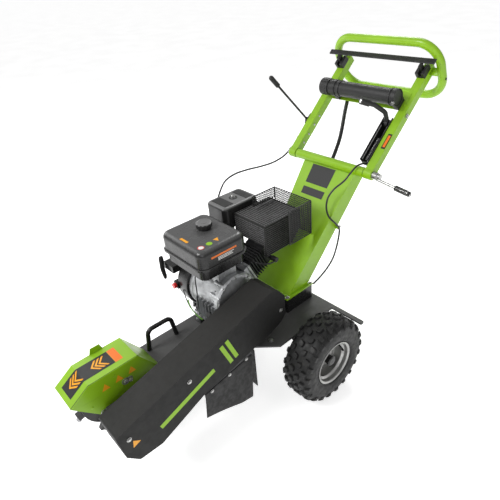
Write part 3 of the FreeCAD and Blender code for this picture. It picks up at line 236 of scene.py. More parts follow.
def tread_rubber(name, colour):
    """Tyre rubber: dusty scuffs on the blocks, moulded rings on the wall."""
    f = Finish(name)
    dust = f.between(f.noise(28.0, 6.0, 0.7), 0.48, 0.74)
    base = f.blend(dust * 0.45, colour, (0.05, 0.048, 0.044, 1.0))
    rough = f.between(f.noise(60.0, 4.0), 0.3, 0.7, 0.42, 0.66)
    fine = f.bump(f.noise(700.0, 2.0), 0.3, 0.0004)
    return f.set(base_color=base, roughness=rough, normal=fine, specular_ior_level=0.35)


def sheet_rubber(name, colour):
    """Calendered rubber sheet with scuffs and dried mud flecks."""
    f = Finish(name)
    scuff = f.between(f.noise(16.0, 6.0, 0.7, (1.0, 1.0, 0.35)), 0.5, 0.75)
    fleck = f.between(f.cells(95.0), 0.1, 0.02)
    base = f.blend(scuff * 0.3, colour, (0.035, 0.038, 0.036, 1.0))
    base = f.blend(fleck * 0.1, base, (0.08, 0.07, 0.05, 1.0))
    rough = f.between(f.noise(50.0, 4.0), 0.3, 0.7, 0.55, 0.78)
    return f.set(base_color=base, roughness=rough, normal=f.bump(f.noise(300.0, 3.0), 0.35, 0.0005))


def film_print(name, colour, roughness=0.35):
    """Printed self-adhesive film with a slightly worn print."""
    f = Finish(name)
    wear = f.between(f.noise(130.0, 4.0, 0.7), 0.6, 0.75)
    base = f.blend(wear * 0.3, colour, shade(colour, 0.55))
    rough = f.between(f.noise(30.0, 3.0), 0.3, 0.7, roughness - 0.05, roughness + 0.08)
    return f.set(base_color=base, roughness=rough, normal=f.bump(f.noise(500.0, 2.0), 0.08, 0.0002))


FINISHES = {}


def finish(name):
    """The finish of that name, made the first time that it is asked for."""
    if name not in FINISHES:
        paint = bpy.context.scene.grinder_colours
        colours = {key: tuple(getattr(paint, key)) + (1.0,) for key in (
            "lime", "charcoal", "deck", "wheel", "rubber", "enamel", "plastic", "aluminium", "orange")}
        makers = {
            "lime": lambda: powder_coat("lime_powder_coat", colours["lime"], 0.34, 0.2, 0.12),
            "charcoal": lambda: powder_coat("charcoal_powder_coat", colours["charcoal"], 0.55, 0.35, 0.1,
                                            0.25),
            "deck": lambda: powder_coat("deck_paint", colours["deck"], 0.45, 0.35, 0.3, 0.4),
            "wheel": lambda: bare_metal("wheel_enamel", colours["wheel"], 0.36, 60.0, tarnish=0.35),
            "enamel": lambda: powder_coat("engine_enamel", colours["enamel"], 0.25, 0.1, 0.04),
            "tank": lambda: moulding("tank_moulding", colours["enamel"], 0.28, 0.1, 700.0, 0.35),
            "cover": lambda: moulding("filter_moulding", colours["enamel"], 0.36, 0.2, 700.0, 0.7),
            "black_iron": lambda: casting("black_iron", (0.013, 0.013, 0.014, 1.0), 0.5, 0.0, 0.4),
            "tread": lambda: tread_rubber("tread_rubber", colours["rubber"]),
            "flap": lambda: sheet_rubber("flap_rubber", colours["rubber"]),
            "belt": lambda: sheet_rubber("belt_cover", colours["rubber"]),
            "plastic": lambda: moulding("textured_moulding", colours["plastic"], 0.48),
            "grip": lambda: moulding("soft_grip", colours["plastic"], 0.6, 0.6, 420.0),
            "sleeve": lambda: moulding("cable_sleeve", colours["plastic"], 0.38, 0.1, 300.0),
            "red": lambda: moulding("red_moulding", (0.62, 0.015, 0.015, 1.0), 0.3, 0.1),
            # Lighter grey coat for the louvre lips: a painted highlight standing for the bright slat edges, not
            # wear.
            "painted_highlight_edge": lambda: powder_coat("louvre_painted_highlight", (0.16, 0.16, 0.16, 1.0), 0.3, 0.2, 0.0, 0.6),
            "zinc": lambda: bare_metal("bright_zinc", (0.52, 0.52, 0.51, 1.0), 0.28),
            "steel": lambda: bare_metal("turned_steel", (0.5, 0.5, 0.49, 1.0), 0.32, 300.0, (1.0, 0.1, 0.1)),
            "polished": lambda: bare_metal("polished_cap", (0.82, 0.82, 0.81, 1.0), 0.12, tarnish=0.1),
            "carbide": lambda: bare_metal("carbide_tip", (0.42, 0.42, 0.43, 1.0), 0.36, tarnish=0.5),
            "aluminium": lambda: casting("cast_aluminium", colours["aluminium"], 0.42, 0.85),
            "iron": lambda: casting("cast_iron", (0.06, 0.06, 0.062, 1.0), 0.5, 0.4),
            "disc": lambda: powder_coat("disc_paint", (0.010, 0.010, 0.010, 1.0), 0.4, 0.3, 0.1),
            "wire": lambda: powder_coat("wire_paint", (0.009, 0.009, 0.009, 1.0), 0.38, 0.2, 0.05),
            "orange": lambda: film_print("orange_print", colours["orange"]),
            "amber": lambda: film_print("amber_print", (0.85, 0.36, 0.01, 1.0)),
            "ink": lambda: film_print("black_print", (0.012, 0.012, 0.012, 1.0), 0.42),
            "pale": lambda: film_print("pale_print", (0.72, 0.72, 0.7, 1.0)),
            "lime_print": lambda: film_print("lime_print", colours["lime"], 0.4),
            "earth_wire": lambda: moulding("earth_wire", (0.16, 0.42, 0.04, 1.0), 0.4, 0.1),
        }
        FINISHES[name] = makers[name]()
    return FINISHES[name]


# ---- mesh writing ----------------------------------------------------------------------------------

def piece(name, build, body, finish_name, stands_for=(), bevel=0.0, smooth=35.0, subdivide=0):
    """Makes an object from mesh code, rounds its edges, and lets it ride on its body."""
    mesh = bpy.data.meshes.new(name)
    bm = bmesh.new()
    build(bm)
    bmesh.ops.remove_doubles(bm, verts=bm.verts, dist=1e-6)
    bmesh.ops.recalc_face_normals(bm, faces=bm.faces)
    bm.to_mesh(mesh)
    bm.free()
    item = bpy.data.objects.new(name, mesh)
    bpy.context.scene.collection.objects.link(item)
    mesh.materials.append(finish(finish_name))
    soften(item, bevel, smooth)
    if subdivide:
        rounder = item.modifiers.new("Rounder", "SUBSURF")
        rounder.levels = rounder.render_levels = subdivide
    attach(item, body)
    if stands_for:
        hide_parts(*stands_for)
    return item


def soften(item, width, angle):
    """Rounds hard edges and shades the rest smooth."""
    for face in item.data.polygons:
        face.use_smooth = True
    if width:
        bevel = item.modifiers.new("Edges", "BEVEL")
        bevel.width = width
        bevel.segments = 2
        bevel.limit_method = "ANGLE"
        bevel.angle_limit = math.radians(angle)
    even = item.modifiers.new("Normals", "WEIGHTED_NORMAL")
    even.keep_sharp = False
    even.weight = 100


def dress(node, finish_name, bevel=0.0009, angle=32.0):
    """Gives a node of the frame its finish and rounded edges."""
    item = NODES[node]
    item.data.materials.clear()
    item.data.materials.append(finish(finish_name))
    join = item.modifiers.new("Join", "WELD")
    join.merge_threshold = 0.00002
    soften(item, bevel, angle)
    return item


def ring_of(bm, points):
    return [bm.verts.new(p) for p in points]


def skin(bm, rings, closed=False, caps=True):
    """Joins rings of equal count into one wall, and closes its ends."""
    loops = [ring_of(bm, ring) for ring in rings]
    pairs = list(zip(loops, loops[1:]))
    if closed:
        pairs.append((loops[-1], loops[0]))
    for first, second in pairs:
        count = len(first)
        for i in range(count):
            j = (i + 1) % count
            bm.faces.new((first[i], first[j], second[j], second[i]))
    if caps and not closed:
        bm.faces.new(loops[0][::-1])
        bm.faces.new(loops[-1])
    return loops


def slab(bm, outline, depth, place=None):
    """A plate: an outline in its own plane, thickened, then moved to its place."""
    place = place or Matrix.Identity(4)
    lower = [place @ Vector((a, b, 0.0)) for a, b in outline]
    upper = [place @ Vector((a, b, depth)) for a, b in outline]
    skin(bm, [lower, upper])


def brick(bm, start, end):
    (x0, y0, z0), (x1, y1, z1) = start, end
    skin(bm, [[(x0, y0, z), (x1, y0, z), (x1, y1, z), (x0, y1, z)] for z in (z0, z1)])


def lathe(bm, profile, origin, way=(1, 0, 0), count=48, closed=False):
    """Spins (along, radius) points about an axis."""
    turn = Vector((0, 0, 1)).rotation_difference(Vector(way)).to_matrix()
    rings = []
    for along, radius in profile:
        rings.append([Vector(origin) + turn @ Vector((
            radius * math.cos(2 * math.pi * k / count), radius * math.sin(2 * math.pi * k / count), along))
            for k in range(count)])
    skin(bm, rings, closed=closed)


def hose(bm, points, radius, count=10):
    """A round run through a list of points."""
    points = [Vector(p) for p in points]
    rings = []
    side = None
    for i, point in enumerate(points):
        way = (points[min(i + 1, len(points) - 1)] - points[max(i - 1, 0)]).normalized()
        if side is None:
            side = way.orthogonal().normalized()
        side = (side - way * side.dot(way)).normalized()
        across = way.cross(side)
        rings.append([point + side * radius * math.cos(2 * math.pi * k / count)
                      + across * radius * math.sin(2 * math.pi * k / count) for k in range(count)])
    skin(bm, rings)


def sweep_points(points, steps=10):
    """Points along one smooth curve through a few places."""
    curve = bpy.data.curves.new("route", "CURVE")
    curve.dimensions = "3D"
    spline = curve.splines.new("NURBS")
    spline.points.add(len(points) - 1)
    for spot, p in zip(spline.points, points):
        spot.co = (*p, 1.0)
    spline.order_u = min(4, len(points))
    spline.use_endpoint_u = True
    spline.resolution_u = steps
    holder = bpy.data.objects.new("route", curve)
    mesh = bpy.data.meshes.new_from_object(holder)
    found = [v.co.copy() for v in mesh.vertices]
    bpy.data.objects.remove(holder)
    bpy.data.curves.remove(curve)
    bpy.data.meshes.remove(mesh)
    return found


def facing(way, spot, spin=0.0):
    """A place whose own Z runs along a direction."""
    turn = Vector((0, 0, 1)).rotation_difference(Vector(way).normalized()).to_matrix().to_4x4()
    return Matrix.Translation(Vector(spot)) @ turn @ Matrix.Rotation(spin, 4, "Z")


def hex_bolt(bm, spot, way, across=0.013, head=0.005, washer=True):
    """A hexagon head with its chamfer, on a washer."""
    place = facing(way, spot, 0.3)
    rise = 0.0
    if washer:
        lathe(bm, [(0.0, across * 0.62), (0.0, across * 0.85), (0.0016, across * 0.85),
                   (0.0016, across * 0.62)],
              spot, way, 24, closed=True)
        rise = 0.0012
    corner = across / math.sqrt(3)
    rings = []
    for z, scale in ((rise, 1.0), (rise + head * 0.82, 1.0), (rise + head, 0.86)):
        rings.append([place @ Vector((corner * scale * math.cos(math.pi * k / 3),
                                      corner * scale * math.sin(math.pi * k / 3), z))
                      for k in range(6)])
    skin(bm, rings)


def dome_bolt(bm, spot, way, radius=0.007, head=0.004):
    profile = [(0.0, radius)]
    profile += [(head * math.sin(a), radius * math.cos(a)) for a in (0.35, 0.8, 1.2)]
    profile.append((head, radius * 0.05))
    lathe(bm, profile, spot, way, 20)


# ---- wheels ----------------------------------------------------------------------------------------

def build_tyres(sizes):
    tread = sizes.tread_depth
    for side in ("left", "right"):
        node = side + "_tyre"
        middle = centre(node)
        radius = (high(node).z - low(node).z) / 2
        radius = min(radius, middle.z)
        half = (high(node).x - low(node).x) / 2
        crown = radius - tread

        def wall(x):
            reach = abs(x) / half
            return crown - 0.020 * max(0.0, reach - 0.45) ** 2 / 0.3

        def body(bm):
            bead = [(half - 0.016, 0.0975), (half - 0.013, 0.1046), (half - 0.006, 0.113),
                    (half - 0.0035, 0.117),
                    (half - 0.0042, 0.121), (half - 0.001, 0.134), (half - 0.0004, 0.148),
                    (half - 0.0018, 0.160),
                    (half - 0.003, 0.163), (half - 0.003, 0.167), (half - 0.006, 0.178)]
            top = [(x, wall(x)) for x in (half * 0.86, half * 0.7, half * 0.45, half * 0.2, 0.0)]
            outer = bead + top
            profile = [(x, r) for x, r in outer] + [(-x, r) for x, r in outer[-2::-1]]
            inner = [(-half + 0.03, 0.0975), (-half + 0.02, radius - 0.05), (0.0, radius - 0.03),
                     (half - 0.02, radius - 0.05), (half - 0.03, 0.0975)]
            lathe(bm, profile + inner, middle, (1, 0, 0), 96, closed=True)
        piece(side + "_tyre_body", body, side + "_wheel", "tread", (node,))

        def block(bm, across, round_at, wide, long, lean):
            """One rounded tread block; its top follows the crown."""
            rings = []
            for scale, level in ((1.16, -0.35), (1.02, 0.6), (0.86, 1.0)):
                ring = []
                for k in range(12):
                    angle = math.pi / 6 * k
                    c, s = math.cos(angle), math.sin(angle)
                    u = math.copysign(abs(c) ** 0.55, c) * wide / 2 * scale
                    v = math.copysign(abs(s) ** 0.55, s) * long / 2 * scale
                    x = max(-half + 0.0008, min(half - 0.0008, across + u))
                    turn = (round_at + v + u * lean) / radius
                    r = min(wall(x) + tread * level, radius - 0.0003)
                    ring.append(middle + Vector((x, r * math.sin(turn), r * math.cos(turn))))
                rings.append(ring)
            skin(bm, rings)

        def blocks(bm):
            count = sizes.tread_blocks
            pitch = 2 * math.pi * radius / count
            for i in range(count):
                for sign in (1, -1):
                    s = (i + (0.25 if sign > 0 else 0.75)) * pitch
                    block(bm, sign * 0.0155, s, 0.025, 0.027, 0.25 * sign)
                    block(bm, sign * 0.0455, s + pitch * 0.5, 0.025, 0.027, -0.2 * sign)
                    block(bm, sign * (half - 0.0070), s + pitch * 0.02, 0.020, 0.024, 0.0)
        piece(side + "_tread_blocks", blocks, side + "_wheel", "tread", bevel=0.0011)


def build_rims():
    for side, sign in (("left", 1), ("right", -1)):
        dress(side + "_rim", "wheel", 0.0012)
        dress(side + "_hub", "enamel", 0.0008)
        face = centre(side + "_rim")
        reach = (high(side + "_rim").x - low(side + "_rim").x) / 2

        def beads(bm):
            hose(bm, [face + Vector((sign * (reach - 0.026), 0.058, 0.052)),
                      face + Vector((sign * (reach - 0.014), 0.056, 0.050)),
                      face + Vector((sign * (reach - 0.002), 0.052, 0.046))], 0.0036, 12)
            lathe(bm, [(0, 0.0048), (0.012, 0.0048), (0.012, 0.004), (0.0135, 0.003)],
                  face + Vector((sign * (reach - 0.006), 0.053, 0.047)), (sign, -0.25, -0.25), 16)
        piece(side + "_valve", beads, side + "_wheel", "plastic")

        def lugs(bm):
            for k in range(4):
                angle = math.pi / 2 * k
                hex_bolt(bm, face + Vector((sign * 0.0082, 0.034 * math.cos(angle), 0.034 * math.sin(angle))),
                         (sign, 0, 0), 0.017, 0.006)
        piece(side + "_lug_nuts", lugs, side + "_wheel", "zinc", bevel=0.0004)
    dress("axle", "steel")


# ---- cutter head -------------------------------------------------------------------------------------

def hood_fold():
    """The folded top sheet's corners in side view: lip, front bend, rear bend and foot."""
    lo, hi = low("cutter_hood"), high("cutter_hood")
    return [(lo.y, 0.396), (lo.y + 0.083, 0.452), (lo.y + 0.288, 0.455), (hi.y, lo.z + 0.082)]


def build_cutter_head():
    dress("cutter_hood", "lime", 0.0012)
    dress("cutter_rails", "deck")
    dress("cutter_bearings", "iron", 0.0012)
    dress("cutter_shaft", "steel")
    dress("cutter_disc", "disc")
    dress("tooth_holders", "disc", 0.0012)
    dress("carbide_teeth", "carbide")
    lo, hi = low("cutter_hood"), high("cutter_hood")
    lip, bend, rear, _ = hood_fold()
    slope = Vector((0, bend[0] - lip[0], bend[1] - lip[1]))
    lift = 0.0005
    left, right = lo.x + 0.034, hi.x - 0.034

    def on_slope(x, part):
        up = Vector((0, -slope.z, slope.y)).normalized()
        return Vector((x, lip[0], lip[1])) + slope * part + up * lift

    def on_top(x, y):
        rise = (y - bend[0]) / (rear[0] - bend[0]) * (rear[1] - bend[1])
        return Vector((x, y, bend[1] + rise + lift))

    def strip(bm):
        ends = [on_slope(left, 0.22), on_slope(left, 0.985), on_top(left, bend[0] + 0.002),
                on_top(left, bend[0] + 0.128)]
        other = [on_slope(right, 0.22), on_slope(right, 0.985), on_top(right, bend[0] + 0.002),
                 on_top(right, bend[0] + 0.128)]
        a, b = ring_of(bm, ends), ring_of(bm, other)
        for i in range(3):
            bm.faces.new((a[i], a[i + 1], b[i + 1], b[i]))
    piece("hood_strip", strip, "frame", "ink")

    def patch(bm):
        bm.faces.new(ring_of(bm, [on_top(left, bend[0] + 0.129), on_top(right, bend[0] + 0.129),
                                  on_top(right, bend[0] + 0.160), on_top(left, bend[0] + 0.160)]))
    piece("hood_patch", patch, "frame", "orange")

    def chevrons(bm):
        middle, reach, width = (left + right) / 2, (right - left) * 0.36, 0.009
        for k in range(3):
            for spots in (lambda x, d: on_top(x, bend[0] + 0.045 + 0.016 * k + d) + Vector((0, 0, lift)),
                          lambda x, d: on_slope(x, 0.42 + 0.155 * k + d / slope.length) + Vector((0, -lift, lift))):
                for side in (1, -1):
                    bm.faces.new(ring_of(bm, [spots(middle, 0.0), spots(middle + side * reach, 0.024),
                                              spots(middle + side * reach, 0.024 + width),
                                              spots(middle, width)]))
    piece("hood_chevrons", chevrons, "frame", "amber")

    def marks(bm):
        for k in range(3):
            y, z = bend[0] + 0.055 + 0.056 * k, 0.402 + 0.004 * k
            bm.faces.new(ring_of(bm, [(hi.x + lift, y - 0.017, z - 0.014),
                                      (hi.x + lift, y + 0.017, z - 0.014),
                                      (hi.x + lift, y, z + 0.017)]))
    piece("hood_marks", marks, "frame", "amber")

    def bolts(bm):
        for y, z in ((lo.y + 0.104, 0.290), (lo.y + 0.215, 0.3725)):
            hex_bolt(bm, (hi.x, y, z), (1, 0, 0), 0.019, 0.008)
            hex_bolt(bm, (lo.x, y, z), (-1, 0, 0), 0.019, 0.008)
        hex_bolt(bm, (hi.x, lo.y + 0.233, 0.3725), (1, 0, 0), 0.015, 0.012)
    piece("hood_bolts", bolts, "frame", "zinc", bevel=0.0005)

    def seams(bm):
        corners = [lip, bend, rear, (rear[0] + 0.064, 0.340)]
        for (y0, z0), (y1, z1) in zip(corners, corners[1:]):
            hose(bm, [(hi.x - 0.0030, y0, z0 + 0.0001), (hi.x - 0.0030, y1, z1 + 0.0001)], 0.0011, 6)
    piece("hood_seams", seams, "frame", "ink")

    def welds(bm):
        for y, z in ((lo.y + 0.07, 0.345), (lo.y + 0.18, 0.428), (lo.y + 0.3, 0.350), (lo.y + 0.17, 0.335)):
            dome_bolt(bm, (hi.x, y, z), (1, 0, 0), 0.006, 0.0016)
    piece("hood_welds", welds, "frame", "lime")


# ---- belt guard ----------------------------------------------------------------------------------------

def build_belt_guard():
    dress("belt_guard", "charcoal", 0.003)
    dress("belt_guard_back", "charcoal")
    dress("drive_belts", "belt")
    dress("driven_pulley", "iron")
    dress("drive_pulley", "iron")
    hi = high("belt_guard")
    face = hi.x + 0.0005

    def at(along, across):
        """A place on the guard's broad face, by the belt's own run and square to it."""
        start = Vector((0, -0.795, 0.280))
        run = Vector((0, 0.590, 0.215)).normalized()
        up = Vector((0, -run.z, run.y))
        spot = start + run * along + up * across
        return Vector((face, spot.y, spot.z))

    def bars(bm):
        for along, reach in ((0.395, 0.060), (0.425, 0.060)):
            bm.faces.new(ring_of(bm, [at(along, -reach), at(along + 0.018, -reach), at(along + 0.018, reach),
                                      at(along, reach)]))
        bm.faces.new(ring_of(bm, [at(0.05, -0.020), at(0.33, -0.020), at(0.33, 0.002), at(0.05, 0.002)]))
    piece("guard_bars", bars, "frame", "lime_print")

    def mark(bm):
        bm.faces.new(ring_of(bm, [at(-0.058, 0.030), at(-0.024, 0.030), at(-0.041, 0.060)]))
    piece("guard_mark", mark, "frame", "amber")


# ---- deck, flaps and bow ---------------------------------------------------------------------------------

def build_deck():
    dress("deck_plate", "deck", 0.0014)
    dress("column_riser", "enamel", 0.002)
    dress("engine_rails", "deck")
    dress("lift_bow", "enamel", 0.0)
    dress("flap_strips", "deck")
    bolts = NODES["frame_bolts"]

    def heads(bm):
        """A hexagon head for each plain bolt of the frame, found from its solid's own box."""
        mesh = bmesh.new()
        mesh.from_mesh(bolts.data)
        bmesh.ops.remove_doubles(mesh, verts=mesh.verts, dist=1e-5)
        left = set(mesh.verts)
        while left:
            grown, queue = set(), [left.pop()]
            while queue:
                vert = queue.pop()
                grown.add(vert)
                for edge in vert.link_edges:
                    other = edge.other_vert(vert)
                    if other in left:
                        left.remove(other)
                        queue.append(other)
            corners = [Vector([pick(v.co[i] for v in grown) for i in range(3)]) for pick in (min, max)]
            spread = corners[1] - corners[0]
            axis = min(range(3), key=lambda i: spread[i])
            across = max(spread)
            way = Vector((0, 0, 0))
            way[axis] = -1.0 if axis == 1 else 1.0
            spot = (corners[0] + corners[1]) / 2
            spot[axis] = corners[1][axis] if axis == 1 else corners[0][axis]
            hex_bolt(bm, spot, way, across * 0.80, spread[axis] - 0.0014)
        mesh.free()
    piece("frame_bolt_heads", heads, "frame", "zinc", ("frame_bolts",), bevel=0.0005)


def build_flaps():
    """Rubber sheets with a slow wave and a curled lower edge, inside the room that the frame gives."""
    lo, hi = low("rubber_flaps"), high("rubber_flaps")
    front, rear = -0.540, -0.290

    def top_of(y):
        return 0.2915 + (y - front) / (rear - front) * (0.3125 - 0.2745)

    def side(bm):
        rows, columns = 16, 16
        grids = []
        for layer in (0.0, 0.0035):
            grid = []
            for i in range(rows + 1):
                t = i / rows
                line = []
                for j in range(columns + 1):
                    s = j / columns
                    y_top = front + (rear - front) * s
                    y_low = (front - 0.008) + (rear - 0.012 - front + 0.008) * s
                    z_low = 0.146 + (0.066 - 0.146) * s
                    z_top = top_of(y_top) - 0.004
                    y = y_top + (y_low - y_top) * t
                    z = z_top + (z_low - z_top) * t
                    sway = (0.004 * math.sin(3.2 * s + 0.6) + 0.006 * t * math.cos(2.4 * s)) * t
                    x = hi.x - 0.0042 + layer - abs(sway)
                    line.append(bm.verts.new((x, y, z)))
                grid.append(line)
            grids.append(grid)
        close_sheet(bm, grids)
    piece("side_flap", side, "frame", "flap", ("rubber_flaps",))

    def back(bm):
        grids = []
        for layer in (0.0, 0.0032):
            grid = []
            for i in range(13):
                t = i / 12
                line = []
                for j in range(21):
                    s = j / 20
                    x = lo.x + (0.17 - lo.x) * s
                    z = 0.316 + (0.092 - 0.316) * t
                    y = -0.262 + layer + 0.0006 * math.sin(5.0 * s) * t
                    line.append(bm.verts.new((x, y, z)))
                grid.append(line)
            grids.append(grid)
        close_sheet(bm, grids)
    piece("rear_flap", back, "frame", "flap")


def close_sheet(bm, grids):
    """Joins two equal grids of points into one thin closed sheet."""
    rows, columns = len(grids[0]), len(grids[0][0])
    for grid in grids:
        for i in range(rows - 1):
            for j in range(columns - 1):
                bm.faces.new((grid[i][j], grid[i][j + 1], grid[i + 1][j + 1], grid[i + 1][j]))
    first, second = grids
    rim = ([(0, j) for j in range(columns)] + [(i, columns - 1) for i in range(1, rows)]
           + [(rows - 1, j) for j in range(columns - 2, -1, -1)] + [(i, 0) for i in range(rows - 2, 0, -1)])
    for (a, b), (c, d) in zip(rim, rim[1:] + rim[:1]):
        bm.faces.new((first[a][b], first[c][d], second[c][d], second[a][b]))


# ---- engine --------------------------------------------------------------------------------------------

def build_engine_block():
    lo, hi = low("crankcase"), high("crankcase")
    axis = Vector((0, -0.205, 0.495))

    def case(bm):
        lathe(bm, [(lo.x, 0.040), (lo.x, 0.116), (lo.x + 0.020, 0.116), (lo.x + 0.030, 0.108),
                   (lo.x + 0.090, 0.104),
                   (hi.x - 0.060, 0.098), (hi.x - 0.036, 0.110), (hi.x - 0.020, 0.110), (hi.x - 0.012, 0.104),
                   (hi.x - 0.004, 0.060), (hi.x, 0.050), (hi.x, 0.016)], axis, (1, 0, 0), 56)
        brick(bm, (lo.x + 0.002, axis.y - 0.112, lo.z), (hi.x - 0.012, axis.y + 0.108, lo.z + 0.018))
        brick(bm, (lo.x + 0.022, axis.y - 0.088, lo.z + 0.012), (hi.x - 0.030, axis.y + 0.092, axis.z))
        brick(bm, (lo.x + 0.030, axis.y - 0.060, axis.z), (hi.x - 0.050, axis.y + 0.035, hi.z))
        for k in range(7):
            x = lo.x + 0.045 + 0.022 * k
            brick(bm, (x, axis.y - 0.118, lo.z + 0.012), (x + 0.004, axis.y - 0.070, axis.z - 0.01))
        for k in range(26):
            spin = Matrix.Translation(axis) @ Matrix.Rotation(2 * math.pi * k / 26, 4, "X")
            rings = []
            for x, r0, r1 in ((hi.x - 0.058, 0.070, 0.1085), (hi.x - 0.010, 0.070, 0.1085)):
                rings.append([spin @ Vector((x, y, r)) for y,
                              r in ((-0.0018, r0), (0.0018, r0), (0.0018, r1), (-0.0018, r1))])
            skin(bm, rings)
        for y, z, reach in ((-0.060, 0.085, 0.052), (-0.095, 0.040, 0.060), (0.020, 0.098, 0.040)):
            lathe(bm, [(0.0, 0.011), (reach, 0.009), (reach + 0.002, 0.006)],
                  (hi.x - 0.074, axis.y + y, axis.z + z), (1, 0, 0), 18)
    piece("engine_case", case, "frame", "aluminium", ("crankcase",), bevel=0.0022)

    def cover(bm):
        for k in range(9):
            angle = 2 * math.pi * k / 9 + 0.2
            spot = axis + Vector((hi.x - 0.020, 0.101 * math.cos(angle), 0.101 * math.sin(angle)))
            spot.x = hi.x - 0.0165
            hex_bolt(bm, spot, (1, 0, 0), 0.010, 0.006)
        hex_bolt(bm, (lo.x + 0.05, axis.y - 0.112, lo.z + 0.010), (0, -1, 0), 0.014, 0.006)
        hex_bolt(bm, (hi.x - 0.05, axis.y - 0.112, lo.z + 0.010), (0, -1, 0), 0.014, 0.006)
    piece("case_bolts", cover, "frame", "zinc", bevel=0.0004)

    def filler(bm):
        lathe(bm, [(0.0, 0.016), (0.018, 0.016), (0.018, 0.013), (0.024, 0.013), (0.024, 0.018),
                   (0.034, 0.018),
                   (0.036, 0.014)], (hi.x - 0.075, axis.y - 0.092, lo.z + 0.055), (0, -0.94, 0.34), 24)
    piece("oil_filler", filler, "frame", "plastic", bevel=0.0006)
    dress("cylinder", "black_iron", 0.0009)

    def barrel(bm):
        tilt = Matrix.Translation(axis) @ Matrix.Rotation(math.radians(25), 4, "X")
        for a, b, x0, x1, z0, z1 in ((0.100, 0.134, -0.129, -0.001, -0.054, 0.054),
                                     (0.120, 0.131, -0.134, 0.004, -0.058, 0.058)):
            skin(bm, [[tilt @ Vector((x, along, z)) for x,
                       z in ((x0, z0), (x1, z0), (x1, z1), (x0, z1))] for along in (a, b)])
    piece("barrel_flange", barrel, "frame", "aluminium", bevel=0.002)
    dress("spark_plug", "plastic", 0.001)
    dress("crankshaft", "steel")


def build_fan_housing():
    lo, hi = low("fan_housing"), high("fan_housing")
    axis = Vector((0, -0.205, 0.495))
    face = -0.287

    def drum(bm):
        lathe(bm, [(hi.x, 0.030), (hi.x, 0.126), (hi.x - 0.006, 0.128), (hi.x - 0.070, 0.127),
                   (hi.x - 0.082, 0.120),
                   (hi.x - 0.088, 0.110), (hi.x - 0.089, 0.088), (hi.x - 0.106, 0.082), (hi.x - 0.112, 0.074),
                   (hi.x - 0.112, 0.046), (hi.x - 0.106, 0.040), (hi.x - 0.106, 0.012)], axis, (1, 0, 0), 64)
        brick(bm, (lo.x + 0.001, -0.344, 0.564), (-0.245, -0.290, 0.5985))
        brick(bm, (-0.271, -0.339, 0.479), (-0.239, -0.300, 0.511))
    piece("fan_drum", drum, "frame", "enamel", ("fan_housing",), bevel=0.0015)

    def vents(bm):
        for k in range(20):
            angle = 2 * math.pi * k / 20
            spin = Matrix.Translation(axis) @ Matrix.Rotation(angle, 4, "X")
            corners = [spin @ Vector((face + 0.0235, y, z)) for y,
                       z in ((-0.004, 0.090), (0.004, 0.090), (0.005, 0.107), (-0.005, 0.107))]
            outer = [p - Vector((0.0012, 0, 0)) for p in corners]
            skin(bm, [corners, outer])
            corners = [spin @ Vector((face - 0.0002, y, z)) for y,
                       z in ((-0.003, 0.050), (0.003, 0.050), (0.004, 0.070), (-0.004, 0.070))]
            outer = [p - Vector((0.0010, 0, 0)) for p in corners]
            skin(bm, [corners, outer])
    piece("fan_vents", vents, "frame", "disc")

    def bolts(bm):
        for k in range(4):
            angle = math.pi / 2 * k + 0.7
            hex_bolt(bm, axis + Vector((-0.265, 0.118 * math.cos(angle), 0.118 * math.sin(angle))),
                     (-1, 0, 0), 0.010, 0.005)
    piece("fan_bolts", bolts, "frame", "zinc", bevel=0.0004)

    dress("engine_switch", "red", 0.0022)
    middle = centre("recoil_handle")
    span = (high("recoil_handle").z - low("recoil_handle").z) / 2

    def pull(bm):
        rings = []
        reach = (high("recoil_handle").x - low("recoil_handle").x) / 2
        for t, wide, deep, lean in ((-1, 0.25, 0.3, 0.55), (-0.94, 0.45, 0.6, 0.5), (-0.7, 0.55, 0.8, 0.4),
                                    (-0.3, 0.6, 0.9, -0.25), (0.1, 0.65, 0.95, -0.3), (0.45, 0.7, 1, 0.1),
                                    (0.75, 0.85, 1, 0.1), (0.95, 0.8, 0.8, 0.15), (1, 0.3, 0.3, 0.15)):
            rings.append([middle + Vector((reach * (lean + wide * math.cos(a) * 0.7),
                                           0.0118 * deep * math.sin(a), t * span))
                          for a in [2 * math.pi * k / 20 for k in range(20)]])
        skin(bm, rings)
    piece("starter_grip", pull, "recoil", "grip", ("recoil_handle",))


